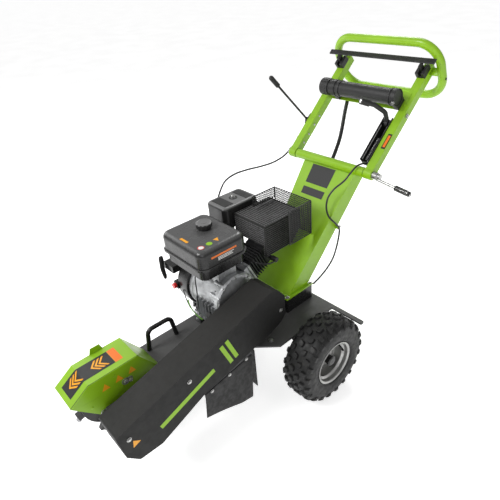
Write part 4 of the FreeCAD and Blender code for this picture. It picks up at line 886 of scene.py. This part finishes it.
def build_tank():
    hi = high("fuel_tank")
    dress("fuel_tank", "tank", 0.002, 40.0)
    cap_lo, cap_hi = low("fuel_cap"), high("fuel_cap")
    middle = centre("fuel_cap")
    radius = (cap_hi.x - cap_lo.x) / 2

    def cap(bm):
        count = 72
        rings = []
        for z, scale, deep in ((cap_lo.z, 0.94, 0.0), (cap_lo.z + 0.002, 0.97, 1.0),
                               (cap_hi.z - 0.004, 0.97, 1.0),
                               (cap_hi.z - 0.001, 0.90, 0.3), (cap_hi.z, 0.80, 0.0),
                               (cap_hi.z - 0.002, 0.70, 0.0),
                               (cap_hi.z - 0.002, 0.30, 0.0), (cap_hi.z - 0.0004, 0.26, 0.0),
                               (cap_hi.z - 0.0004, 0.02, 0.0)):
            ring = []
            for k in range(count):
                angle = 2 * math.pi * k / count
                notch = 0.0016 * deep * (1 if k % 6 < 2 else 0)
                r = radius * scale + 0.0009 - notch
                ring.append((middle.x + r * math.cos(angle), middle.y + r * math.sin(angle), z))
            rings.append(ring)
        skin(bm, rings)
    piece("tank_cap", cap, "cap_of_tank", "cover", ("fuel_cap",), bevel=0.0004)

    top = cap_lo.z - 0.0093 + 0.0004

    def disc(bm, spot, way, radius_in, radius_out, count=32):
        place = facing(way, spot)
        outer = ring_of(bm, [place @ Vector((radius_out * math.cos(a), radius_out * math.sin(a), 0))
                             for a in [2 * math.pi * k / count for k in range(count)]])
        if radius_in <= 0:
            bm.faces.new(outer)
            return
        inner = ring_of(bm, [place @ Vector((radius_in * math.cos(a), radius_in * math.sin(a), 0))
                             for a in [2 * math.pi * k / count for k in range(count)]])
        for i in range(count):
            j = (i + 1) % count
            bm.faces.new((inner[i], inner[j], outer[j], outer[i]))
    piece("tank_badge_pale", lambda bm: disc(bm, (-0.036, -0.312, top), (0, 0, 1), 0.0, 0.0145), "frame",
          "pale")
    piece("tank_badge_ring", lambda bm: disc(bm, (-0.036, -0.312, top + 0.0002), (0, 0, 1), 0.0115, 0.0145),
          "frame", "red")
    piece("tank_badge_lime", lambda bm: disc(bm, (-0.037, -0.270, top), (0, 0, 1), 0.0, 0.0130), "frame",
          "lime_print")
    side = hi.x - 0.006 + 0.0005

    def caution(bm):
        bm.faces.new(ring_of(bm, [(-0.050, -0.242, top), (-0.026, -0.230, top), (-0.052, -0.216, top)]))
        bm.faces.new(ring_of(bm, [(-0.160, -0.330, top), (-0.110, -0.330, top), (-0.110, -0.318, top),
                                  (-0.160, -0.318, top)]))
    piece("tank_patches", caution, "frame", "amber")

    def label(bm):
        bm.faces.new(ring_of(bm, [(side, -0.300, 0.730), (side, -0.170, 0.730), (side, -0.170, 0.7385),
                                  (side, -0.300, 0.7385)]))
    piece("tank_label", label, "frame", "orange")

    def lines(bm):
        for z, end in ((0.7225, -0.185), (0.7165, -0.195), (0.7105, -0.190)):
            bm.faces.new(ring_of(bm, [(side, -0.268, z), (side, end, z), (side, end, z + 0.0032),
                                      (side, -0.268, z + 0.0032)]))
    piece("tank_lines", lines, "frame", "pale")


def build_air_filter():
    lo, hi = low("air_filter"), high("air_filter")
    dress("air_filter", "cover", 0.0015, 40.0)

    def ribs(bm):
        for k in range(9):
            y = lo.y + 0.030 + k * 0.0195
            brick(bm, (hi.x - 0.0006, y, lo.z + 0.012), (hi.x + 0.0022, y + 0.008, hi.z - 0.022))
            brick(bm, (lo.x - 0.0002, y, lo.z + 0.012), (lo.x + 0.0010, y + 0.008, hi.z - 0.022))
        brick(bm, (lo.x + 0.020, lo.y + 0.020, hi.z - 0.0010), (hi.x - 0.020, lo.y + 0.070, hi.z + 0.0016))
        brick(bm, (lo.x + 0.020, hi.y - 0.060, hi.z - 0.0010), (hi.x - 0.020, hi.y - 0.020, hi.z + 0.0016))
    piece("filter_ribs", ribs, "frame", "plastic", bevel=0.0008)

    def seam(bm):
        inset = 0.0008
        outline = []
        for (x, y), (sx, sy) in (((lo.x, lo.y), (1, 1)), ((hi.x, lo.y), (-1, 1)), ((hi.x, hi.y), (-1, -1)),
                                 ((lo.x, hi.y), (1, -1))):
            corner = Vector((x + sx * 0.026, y + sy * 0.026))
            start = {(1, 1): math.pi, (-1, 1): -math.pi / 2, (-1, -1): 0.0, (1, -1): math.pi / 2}[(sx, sy)]
            for k in range(6):
                angle = start + math.pi / 2 * k / 5
                outline.append((corner.x + (0.026 + inset) * math.cos(angle),
                                corner.y + (0.026 + inset) * math.sin(angle)))
        slab(bm, outline, 0.003, Matrix.Translation((0, 0, lo.z + 0.030)))
    piece("filter_seam", seam, "frame", "disc")

    nut_lo, nut_hi = low("wing_nut"), high("wing_nut")
    spot = centre("wing_nut")

    def recess(bm):
        lathe(bm, [(hi.z - 0.0004, 0.012), (hi.z + 0.0008, 0.012), (hi.z + 0.0020, 0.0185),
                   (hi.z + 0.0004, 0.0205),
                   (hi.z - 0.0004, 0.0205)], (spot.x, spot.y, 0), (0, 0, 1), 32, closed=True)
    piece("filter_recess", recess, "frame", "disc")

    def wings(bm):
        lathe(bm, [(nut_lo.z, 0.0039), (nut_lo.z + 0.006, 0.0039), (nut_lo.z + 0.0065, 0.0028),
                   (nut_hi.z - 0.004, 0.0026)],
              (spot.x, spot.y, 0), (0, 0, 1), 20)
        for sign in (1, -1):
            hose(bm, sweep_points([(spot.x + sign * 0.003, spot.y, nut_lo.z + 0.003),
                                   (spot.x + sign * 0.010, spot.y, nut_lo.z + 0.005),
                                   (spot.x + sign * 0.0162, spot.y, nut_hi.z - 0.003)], 6), 0.0017, 10)
    piece("wing_screw", wings, "wing_nut_body", "zinc", ("wing_nut",))
    dress("carburettor", "aluminium", 0.002)

    def bowl(bm):
        box_lo = low("carburettor")
        lathe(bm, [(0.0, 0.017), (0.026, 0.019), (0.028, 0.021), (0.032, 0.021)],
              (-0.223, -0.045, box_lo.z - 0.0), (0, 0, 1), 28)
        hose(bm, sweep_points([(-0.262, -0.060, 0.600), (-0.268, -0.040, 0.610), (-0.266, -0.010, 0.640),
                               (-0.252, 0.0, 0.660)], 6), 0.002)
    piece("fuel_bowl", bowl, "frame", "zinc")


def build_muffler():
    lo, hi = low("muffler_guard"), high("muffler_guard")
    dress("muffler", "iron", 0.002)
    rows = bpy.context.scene.grinder_sizes.louvre_count
    sheet = 0.0016

    def cage(bm):
        step = (hi.y - lo.y - 0.016) / rows
        post_floor = {(1, -1): lo.z, (-1, -1): 0.660, (1, 1): lo.z + 0.055, (-1, 1): lo.z + 0.055}
        for sx, x in ((-1, lo.x + 0.003), (1, hi.x - 0.003)):
            for sy, y in ((-1, lo.y + 0.003), (1, hi.y - 0.003)):
                hose(bm, [(x, y, post_floor[sx, sy]), (x, y, hi.z - 0.004)], 0.003, 8)
        corners = [(lo.x + 0.003, lo.y + 0.003), (hi.x - 0.003, lo.y + 0.003), (hi.x - 0.003, hi.y - 0.003),
                   (lo.x + 0.003, hi.y - 0.003)]
        for a, b in zip(corners, corners[1:] + corners[:1]):
            hose(bm, [(*a, hi.z - 0.004), (*b, hi.z - 0.004)], 0.003, 8)
        for k in range(rows):
            y = lo.y + 0.008 + step * (k + 0.5)
            skin(bm, [[(x, y - step * 0.30, hi.z - 0.0058), (x, y + step * 0.10, hi.z - 0.0003),
                       (x, y + step * 0.22, hi.z - 0.0024), (x, y - step * 0.18, hi.z - 0.0078)]
                      for x in (lo.x + 0.004, hi.x - 0.004)])
        levels = bpy.context.scene.grinder_sizes.louvre_rows
        rise = (hi.z - 0.006 - lo.z) / levels
        for k in range(levels):
            z = lo.z + rise * (k + 0.5)
            start = lo.x + 0.004 if z > 0.660 else 0.008
            back = hi.y - 0.004 if z > lo.z + 0.055 else hi.y - 0.055 + (z - lo.z) * 0.9
            walls = [((start, lo.y), (hi.x - 0.004, lo.y), (0, -1)),
                     ((hi.x, lo.y + 0.004), (hi.x, back), (1, 0))]
            if z > 0.660:
                walls.append(((lo.x, lo.y + 0.004), (lo.x, back), (-1, 0)))
            if z > lo.z + 0.055:
                walls.append(((lo.x + 0.004, hi.y), (hi.x - 0.004, hi.y), (0, 1)))
            for first, last, (ox, oy) in walls:
                skin(bm, [[(x, y, z - rise * 0.30), (x - ox * 0.0060, y - oy * 0.0060, z + rise * 0.18),
                           (x - ox * 0.0076, y - oy * 0.0076, z + rise * 0.10),
                           (x - ox * sheet, y - oy * sheet, z - rise * 0.38)] for x, y in (first, last)])
        for part in (0.34, 0.67):
            y = lo.y + (hi.y - lo.y) * part
            x = lo.x + (hi.x - lo.x) * part
            brick(bm, (hi.x - 0.0085, y - 0.003, lo.z + 0.020), (hi.x - 0.0070, y + 0.003, hi.z - 0.006))
            brick(bm, (x - 0.003, lo.y + 0.0070, 0.662), (x + 0.003, lo.y + 0.0085, hi.z - 0.006))
            brick(bm, (x - 0.003, lo.y + 0.006, hi.z - 0.0090), (x + 0.003, hi.y - 0.006, hi.z - 0.0078))
    piece("louvred_cage", cage, "frame", "wire", ("muffler_guard",))

    # Grey beads along the outer edges of the top slats and the wall slats: painted highlights on the louvre edges,
    # in a lighter finish than the cage.
    def lips(bm):
        step = (hi.y - lo.y - 0.016) / rows
        for k in range(rows):
            y = lo.y + 0.008 + step * (k + 0.5) - step * 0.30
            hose(bm, [(lo.x + 0.006, y, hi.z - 0.0019), (hi.x - 0.006, y, hi.z - 0.0019)], 0.0013, 6)
        levels = bpy.context.scene.grinder_sizes.louvre_rows
        rise = (hi.z - 0.006 - lo.z) / levels
        for k in range(levels):
            z = lo.z + rise * (k + 0.16)
            start = lo.x + 0.003 if z > 0.660 else 0.008
            back = hi.y - 0.004 if z > lo.z + 0.055 else hi.y - 0.055 + (z - lo.z) * 0.9
            hose(bm, [(start, lo.y + 0.0013, z), (hi.x - 0.004, lo.y + 0.0013, z),
                      (hi.x - 0.0013, lo.y + 0.004, z),
                      (hi.x - 0.0013, back, z)], 0.0013, 6)
            if z > 0.660:
                hose(bm, [(lo.x + 0.0013, lo.y + 0.004, z), (lo.x + 0.0013, back, z)], 0.0013, 6)
    piece("louvre_highlight_lips", lips, "frame", "painted_highlight_edge")

    mesh_lo, mesh_hi = low("heat_mesh"), high("heat_mesh")
    gap = bpy.context.scene.grinder_sizes.wire_gap
    thick = bpy.context.scene.grinder_sizes.wire_radius

    def lattice(bm, corner, along, reach, rise):
        """Slanted wires both ways across an upright panel, inside a frame."""
        def spot(u, v, off=0.0):
            p = Vector(corner) + Vector(along) * u
            return (p.x + off * abs(along[1]), p.y + off * abs(along[0]), p.z + v)
        slope = 0.62
        for sign in (1, -1):
            lines = int((reach + rise / slope) / gap) + 1
            for k in range(lines):
                start = -rise / slope + gap * (k + 0.5)
                u0, u1 = max(0.0, start), min(reach, start + rise / slope)
                v0, v1 = (u0 - start) * slope, (u1 - start) * slope
                if u1 - u0 < 0.004:
                    continue
                if sign < 0:
                    v0, v1 = rise - v0, rise - v1
                hose(bm, [spot(u0, v0, sign * 0.0004), spot(u1, v1, sign * 0.0004)], thick, 5)
        rim = [(0, 0), (reach, 0), (reach, rise), (0, rise)]
        for (a, b), (c, d) in zip(rim, rim[1:] + rim[:1]):
            hose(bm, [spot(a, b), spot(c, d)], thick * 1.5, 6)

    def wires(bm):
        low_z, high_z = mesh_lo.z + 0.002, mesh_hi.z - 0.002
        back = mesh_hi.y - 0.001
        lattice(bm, (mesh_lo.x + 0.001, back, low_z), (1, 0, 0), mesh_hi.x - mesh_lo.x - 0.002,
                high_z - low_z)
        lattice(bm, (mesh_hi.x - 0.001, mesh_lo.y + 0.002, low_z), (0, 1, 0), back - mesh_lo.y - 0.002,
                high_z - low_z)
        lattice(bm, (mesh_lo.x + 0.001, mesh_lo.y + 0.002, hi.z + 0.010), (0, 1, 0), back - mesh_lo.y - 0.002,
                high_z - hi.z - 0.010)
    piece("heat_wires", wires, "frame", "wire", ("heat_mesh",))


def build_engine_wiring():
    def dark(bm):
        hose(bm, sweep_points([(0.044, 0.008, 0.594), (0.070, -0.010, 0.600), (0.066, -0.070, 0.610),
                               (0.020, -0.100, 0.622),
                               (-0.060, -0.104, 0.622), (-0.150, -0.090, 0.600)], 8), 0.0035)
        hose(bm, sweep_points([(-0.120, -0.300, 0.640), (-0.110, -0.322, 0.600), (-0.100, -0.326, 0.540),
                               (-0.104, -0.330, 0.480),
                               (-0.120, -0.326, 0.420), (-0.150, -0.318, 0.392)], 8), 0.0028)
        hose(bm, sweep_points([(-0.205, -0.334, 0.490), (-0.180, -0.345, 0.470), (-0.168, -0.342, 0.430),
                               (-0.176, -0.330, 0.392),
                               (-0.150, -0.322, 0.372)], 8), 0.0024)
    piece("engine_leads", dark, "frame", "sleeve")

    def earth(bm):
        hose(bm, sweep_points([(-0.172, -0.338, 0.455), (-0.150, -0.350, 0.425), (-0.120, -0.346, 0.400),
                               (-0.088, -0.330, 0.378)], 8), 0.0026)
    piece("earth_lead", earth, "frame", "earth_wire")


# ---- column and handle --------------------------------------------------------------------------------------

def build_column():
    dress("steering_column", "lime", 0.0022, 30.0)

    def bolts(bm):
        for y, z in ((0.330, 0.655),):
            hex_bolt(bm, (0.147, y, z + 0.004), (1, 0, 0), 0.009, 0.004)
    piece("clip_bolt", bolts, "frame", "zinc")

    def panel(bm):
        """Two plain dark bands across the column's front."""
        foot, head = Vector((0, 0.020, 0.412)), Vector((0, 0.449, 0.920))
        run = head - foot
        out = Vector((0, -run.z, run.y)).normalized() * 0.0006
        for start, end in ((0.70, 0.755), (0.785, 0.925)):
            spots = []
            for part, side in ((start, -1), (start, 1), (end, 1), (end, -1)):
                width = 0.108 + (0.152 - 0.108) * part
                spots.append(foot + run * part + out + Vector((side * width * 0.46 - 0.02, 0, 0)))
            bm.faces.new(ring_of(bm, spots))
    piece("column_bands", panel, "frame", "ink")
    dress("conduit", "sleeve", 0.0)
    dress("throttle_cable", "sleeve", 0.0)
    dress("brake_cable", "sleeve", 0.0)


def build_handle():
    dress("pivot_pin", "zinc")
    for node in ("left_arm", "right_arm", "cross_plate"):
        dress(node, "lime", 0.0016)
    dress("handle_loop", "lime", 0.0)
    dress("tube_saddles", "plastic", 0.0012)
    dress("document_tube", "plastic", 0.0014)
    dress("presence_housings", "plastic", 0.002)
    dress("presence_bar", "plastic", 0.002)
    dress("throttle_bracket", "plastic", 0.001)
    dress("throttle_lever", "grip", 0.001)
    dress("brake_bracket", "plastic", 0.001)
    dress("brake_lever", "plastic", 0.001)
    dress("clamp_lever", "zinc", 0.001)
    dress("tube_cap", "plastic", 0.001)
    build_handle_details()


def build_handle_details():
    pivot = centre("pivot_pin")
    slope = math.radians(42)
    along_way = Vector((0, math.cos(slope), math.sin(slope)))
    above_way = Vector((0, -math.sin(slope), math.cos(slope)))

    def spot(x, along, above):
        return Vector((x, pivot.y, pivot.z)) + along_way * along + above_way * above

    def clamp(bm):
        root, tip = Vector((0.260, pivot.y, 0.891)), Vector((0.418, pivot.y, 0.869))
        way = (tip - root).normalized()
        profile = [(-0.064, 0.007), (-0.0635, 0.0112)]
        for k in range(9):
            start = -0.060 + 0.0062 * k
            profile += [(start, 0.0118), (start + 0.0042, 0.0118), (start + 0.0048, 0.0110),
                        (start + 0.0060, 0.0110)]
        profile += [(0.004, 0.0112), (0.009, 0.0090), (0.0128, 0.0030)]
        lathe(bm, profile, tip, way, 28)
    piece("clamp_grip", clamp, "clamp", "grip")

    tube_lo, tube_hi = low("document_tube"), high("document_tube")
    tube = centre("document_tube")
    radius = (tube_hi.z - tube_lo.z) / 2

    def collars(bm):
        for x in (-0.100, 0.176):
            lathe(bm, [(x, radius - 0.0005), (x, radius + 0.0030), (x + 0.006, radius + 0.0030),
                       (x + 0.006, radius - 0.0005)],
                  (0, tube.y, tube.z), (1, 0, 0), 56, closed=True)
        for k in range(3):
            x = 0.190 + 0.0045 * k
            lathe(bm, [(x, radius - 0.0005), (x, radius + 0.0012), (x + 0.0022, radius + 0.0012),
                       (x + 0.0022, radius - 0.0005)],
                  (0, tube.y, tube.z), (1, 0, 0), 56, closed=True)
    piece("tube_collars", collars, "handle", "plastic")

    cap_lo, cap_hi = low("tube_cap"), high("tube_cap")

    def cap_ribs(bm):
        r = (cap_hi.z - cap_lo.z) / 2
        for k in range(20):
            spin = Matrix.Translation((0, tube.y, tube.z)) @ Matrix.Rotation(2 * math.pi * k / 20, 4, "X")
            rings = [[spin @ Vector((x, y, z)) for y,
                      z in ((-0.003, r - 0.001), (0.003, r - 0.001), (0.0018, r + 0.0012),
                            (-0.0018, r + 0.0012))]
                     for x in (cap_lo.x + 0.003, cap_hi.x - 0.010)]
            skin(bm, rings)
    piece("tube_cap_ribs", cap_ribs, "cap_of_tube", "plastic")

    def fixings(bm):
        for x in (-0.2015,):
            for along in (0.060, 0.110, 0.165, 0.215):
                dome_bolt(bm, spot(x, along, 0.0), (1, 0, 0), 0.006, 0.004)
        hex_bolt(bm, spot(0.2035, 0.300, 0.086), above_way, 0.011, 0.006)
        hex_bolt(bm, spot(0.2440, 0.300, 0.0), (1, 0, 0), 0.012, 0.005)
        for along in (0.056, 0.225):
            hex_bolt(bm, spot(0.194, along, -0.024), above_way, 0.011, 0.005)
        hex_bolt(bm, spot(-0.2470, 0.196, 0.010), (-1, 0, 0), 0.010, 0.004)
        hex_bolt(bm, spot(-0.2470, 0.164, -0.010), (-1, 0, 0), 0.010, 0.004)
    piece("handle_bolts", fixings, "handle", "zinc", bevel=0.0004)

    def springs(bm):
        hose(bm, [spot(0.190, 0.048, 0.004), spot(0.190, 0.226, 0.012)], 0.0022, 8)
        coil = [spot(0.170, 0.060 + 0.0006 * k,
                     -0.004) + Vector((0.0062 * math.cos(k * 0.7), 0,
                                       0)) + above_way * (0.0062 * math.sin(k * 0.7))
                for k in range(190)]
        hose(bm, coil, 0.0013, 6)
        hose(bm, [spot(0.163, 0.050, 0.018), spot(0.165, 0.224, 0.022)], 0.0018, 8)
    piece("brake_springs", springs, "handle", "zinc")

    def ferrule(bm):
        lathe(bm, [(0.0, 0.0030), (0.0, 0.0060), (0.022, 0.0060), (0.026, 0.0030)],
              spot(-0.256, 0.084, -0.012), along_way, 18)
        lathe(bm, [(0.0, 0.0060), (0.012, 0.0068), (0.018, 0.0050)], spot(0.179, 0.048, -0.010), along_way,
              18)
    piece("cable_ferrules", ferrule, "handle", "zinc")

    def button(bm):
        hub = spot(0.179, 0.244, 0.008)
        end = hub + Vector((-0.046, -0.112, 0.110))
        way = (Vector((-0.046, -0.112, 0.110)) - Vector((-0.026, -0.070, 0.092))).normalized()
        lathe(bm, [(0.0215, 0.0040), (0.0215, 0.0085), (0.0235, 0.0085), (0.0250, 0.0062),
                   (0.0252, 0.0010)], end, way, 24)
    piece("brake_button", button, "brake", "polished", bevel=0.0004)

    def tag(bm, inset, lift):
        a0, a1, half = 0.118 + inset, 0.192 - inset, 0.010 - inset * 0.5
        bm.faces.new(ring_of(bm, [spot(0.230 - half, a0, lift), spot(0.230 + half, a0, lift),
                                  spot(0.230 + half, a1, lift),
                                  spot(0.230 - half, a1, lift)]))
    piece("arm_tag", lambda bm: tag(bm, 0.0, 0.0206), "handle", "ink")
    piece("arm_tag_band", lambda bm: tag(bm, 0.008, 0.0209), "handle", "orange")

    def loop_bolt(bm):
        dome_bolt(bm, (high("handle_loop").x - 0.0004, centre("handle_loop").y + 0.01,
                       centre("handle_loop").z - 0.03), (1, 0, 0), 0.006, 0.004)
    piece("loop_bolt", loop_bolt, "handle", "enamel")


# ---- operators ---------------------------------------------------------------------------------------------

class GrinderSizes(bpy.types.PropertyGroup):
    tread_blocks: IntProperty(name="Tread blocks", description="Blocks round each tyre in one row",
                              default=21, min=8, max=40)
    tread_depth: FloatProperty(name="Tread depth", description="Height of a tread block", default=0.011,
                               unit="LENGTH")
    louvre_rows: IntProperty(name="Louvre rows", description="Slats up each wall of the muffler guard",
                             default=15, min=4, max=30)
    louvre_count: IntProperty(name="Louvres", description="Slats across the top of the muffler guard",
                              default=17, min=4, max=30)
    wire_gap: FloatProperty(name="Mesh pitch", description="Distance between wires of the heat mesh",
                            default=0.0155, unit="LENGTH")
    wire_radius: FloatProperty(name="Mesh wire radius", description="Radius of a heat mesh wire",
                               default=0.0016, unit="LENGTH")
    floor_size: FloatProperty(name="Floor", description="Width of the studio floor", default=400.0,
                              unit="LENGTH")


class GrinderColours(bpy.types.PropertyGroup):
    lime: FloatVectorProperty(name="Lime", description="Powder coat of hood, column and handle",
                              subtype="COLOR", default=(0.250, 0.480, 0.006), min=0, max=1)
    charcoal: FloatVectorProperty(name="Charcoal", description="Coat of the belt guard", subtype="COLOR",
                                  default=(0.010, 0.010, 0.0095), min=0, max=1)
    deck: FloatVectorProperty(name="Deck", description="Paint of the deck", subtype="COLOR",
                              default=(0.050, 0.051, 0.053), min=0, max=1)
    wheel: FloatVectorProperty(name="Wheel", description="Enamel of the rims", subtype="COLOR",
                               default=(0.42, 0.42, 0.41), min=0, max=1)
    rubber: FloatVectorProperty(name="Rubber", description="Tyres and flaps", subtype="COLOR",
                                default=(0.011, 0.011, 0.011), min=0, max=1)
    enamel: FloatVectorProperty(name="Enamel", description="Engine's black enamel", subtype="COLOR",
                                default=(0.010, 0.010, 0.010), min=0, max=1)
    plastic: FloatVectorProperty(name="Plastic", description="Black mouldings", subtype="COLOR",
                                 default=(0.011, 0.011, 0.011), min=0, max=1)
    aluminium: FloatVectorProperty(name="Aluminium", description="Castings", subtype="COLOR",
                                   default=(0.56, 0.57, 0.58), min=0, max=1)
    orange: FloatVectorProperty(name="Orange", description="Printed patches", subtype="COLOR",
                                default=(0.80, 0.17, 0.01), min=0, max=1)


class GRINDER_OT_wheels(bpy.types.Operator):
    """Tyres with tread blocks, rims, hubs and axle"""
    bl_idname = "grinder.wheels"
    bl_label = "Wheels"

    def execute(self, context):
        build_tyres(context.scene.grinder_sizes)
        build_rims()
        return {"FINISHED"}


class GRINDER_OT_deck(bpy.types.Operator):
    """Deck, riser, lifting bow, flaps and bolt heads"""
    bl_idname = "grinder.deck"
    bl_label = "Deck"

    def execute(self, context):
        build_deck()
        build_flaps()
        return {"FINISHED"}


class GRINDER_OT_cutter(bpy.types.Operator):
    """Cutter hood, disc and teeth"""
    bl_idname = "grinder.cutter"
    bl_label = "Cutter head"

    def execute(self, context):
        build_cutter_head()
        return {"FINISHED"}


class GRINDER_OT_belt_guard(bpy.types.Operator):
    """Belt guard, belts and pulleys"""
    bl_idname = "grinder.belt_guard"
    bl_label = "Belt drive"

    def execute(self, context):
        build_belt_guard()
        return {"FINISHED"}


class GRINDER_OT_engine(bpy.types.Operator):
    """Engine castings, fan housing, tank, filter, muffler and leads"""
    bl_idname = "grinder.engine"
    bl_label = "Engine"

    def execute(self, context):
        build_engine_block()
        build_fan_housing()
        build_tank()
        build_air_filter()
        build_muffler()
        build_engine_wiring()
        return {"FINISHED"}


class GRINDER_OT_handle(bpy.types.Operator):
    """Column, arms, loop handle and controls"""
    bl_idname = "grinder.handle"
    bl_label = "Column and handle"

    def execute(self, context):
        build_column()
        build_handle()
        return {"FINISHED"}


class GRINDER_OT_stage(bpy.types.Operator):
    """Pale floor, soft lights and camera"""
    bl_idname = "grinder.stage"
    bl_label = "Studio"

    def execute(self, context):
        scene = context.scene
        half = scene.grinder_sizes.floor_size / 2
        mesh = bpy.data.meshes.new("studio_floor")
        mesh.from_pydata([(-half, -half, 0), (half, -half, 0), (half, half, 0), (-half, half, 0)], [],
                         [(0, 1, 2, 3)])
        floor = bpy.data.objects.new("studio_floor", mesh)
        scene.collection.objects.link(floor)
        f = Finish("studio_paper")
        tone = f.between(f.noise(1.5, 3.0), 0.3, 0.7)
        white = f.blend(tone, (0.84, 0.84, 0.84, 1.0), (0.88, 0.88, 0.88, 1.0))
        mesh.materials.append(f.set(base_color=white, roughness=0.9, emission_color=white,
                                    emission_strength=0.72))

        world = scene.world or bpy.data.worlds.new("studio")
        scene.world = world
        world.use_nodes = True
        sky = world.node_tree.nodes["Background"]
        sky.inputs["Color"].default_value = (1.0, 1.0, 1.0, 1.0)
        sky.inputs["Strength"].default_value = 0.42

        target = Vector((0.0, -0.1, 0.55))
        for name, spot, size, power in (
                ("key_light", (-0.9, -3.3, 3.9), 1.8, 128.0), ("fill_light", (3.0, -2.4, 2.6), 2.2, 22.0),
                ("rim_light", (-1.6, 2.9, 3.6), 1.8, 70.0), ("far_light", (-3.4, -0.8, 2.2), 2.4, 35.0)):
            lamp = bpy.data.lights.new(name, "AREA")
            lamp.shape = "DISK"
            lamp.size = size
            lamp.energy = power
            item = bpy.data.objects.new(name, lamp)
            item.location = spot
            item.rotation_euler = (target - Vector(spot)).to_track_quat("-Z", "Y").to_euler()
            scene.collection.objects.link(item)

        camera = bpy.data.cameras.new("camera")
        camera.sensor_width = 36.0
        camera.lens = 32.4
        camera.shift_x = -0.036
        camera.shift_y = 0.012
        camera.clip_end = 200.0
        view = bpy.data.objects.new("camera", camera)
        scene.collection.objects.link(view)
        right, down, ahead = (Vector(row) for row in CAMERA_ROWS)
        turn = Matrix((right, -down, -ahead)).transposed()
        view.matrix_world = Matrix.Translation(CAMERA_SPOT) @ turn.to_4x4()
        scene.camera = view
        scene.view_settings.view_transform = "Standard"
        return {"FINISHED"}


CAMERA_SPOT = Vector((1.2750, -1.1210, 1.7015))
CAMERA_ROWS = ((0.68960, 0.72180, -0.05885), (0.36146, -0.41347, -0.83570), (-0.62754, 0.55503, -0.54602))


class GRINDER_PT_panel(bpy.types.Panel):
    """Lists the pieces of the stump grinder"""
    bl_label = "Stump grinder"
    bl_idname = "GRINDER_PT_panel"
    bl_space_type = "VIEW_3D"
    bl_region_type = "UI"
    bl_category = "Grinder"

    def draw(self, context):
        layout = self.layout
        for group in (context.scene.grinder_sizes, context.scene.grinder_colours):
            column = layout.column()
            for name in group.__annotations__:
                column.prop(group, name)
        for operator in OPERATORS:
            layout.operator(operator.bl_idname)


OPERATORS = (GRINDER_OT_wheels, GRINDER_OT_deck, GRINDER_OT_cutter, GRINDER_OT_belt_guard, GRINDER_OT_engine,
             GRINDER_OT_handle, GRINDER_OT_stage)
CLASSES = (GrinderSizes, GrinderColours) + OPERATORS + (GRINDER_PT_panel,)


def register():
    for item in CLASSES:
        bpy.utils.register_class(item)
    bpy.types.Scene.grinder_sizes = PointerProperty(type=GrinderSizes)
    bpy.types.Scene.grinder_colours = PointerProperty(type=GrinderColours)


def unregister():
    del bpy.types.Scene.grinder_colours
    del bpy.types.Scene.grinder_sizes
    for item in reversed(CLASSES):
        bpy.utils.unregister_class(item)


def main():
    register()
    for operator in OPERATORS:
        group, name = operator.bl_idname.split(".")
        getattr(getattr(bpy.ops, group), name)()


if __name__ == "__main__":
    main()
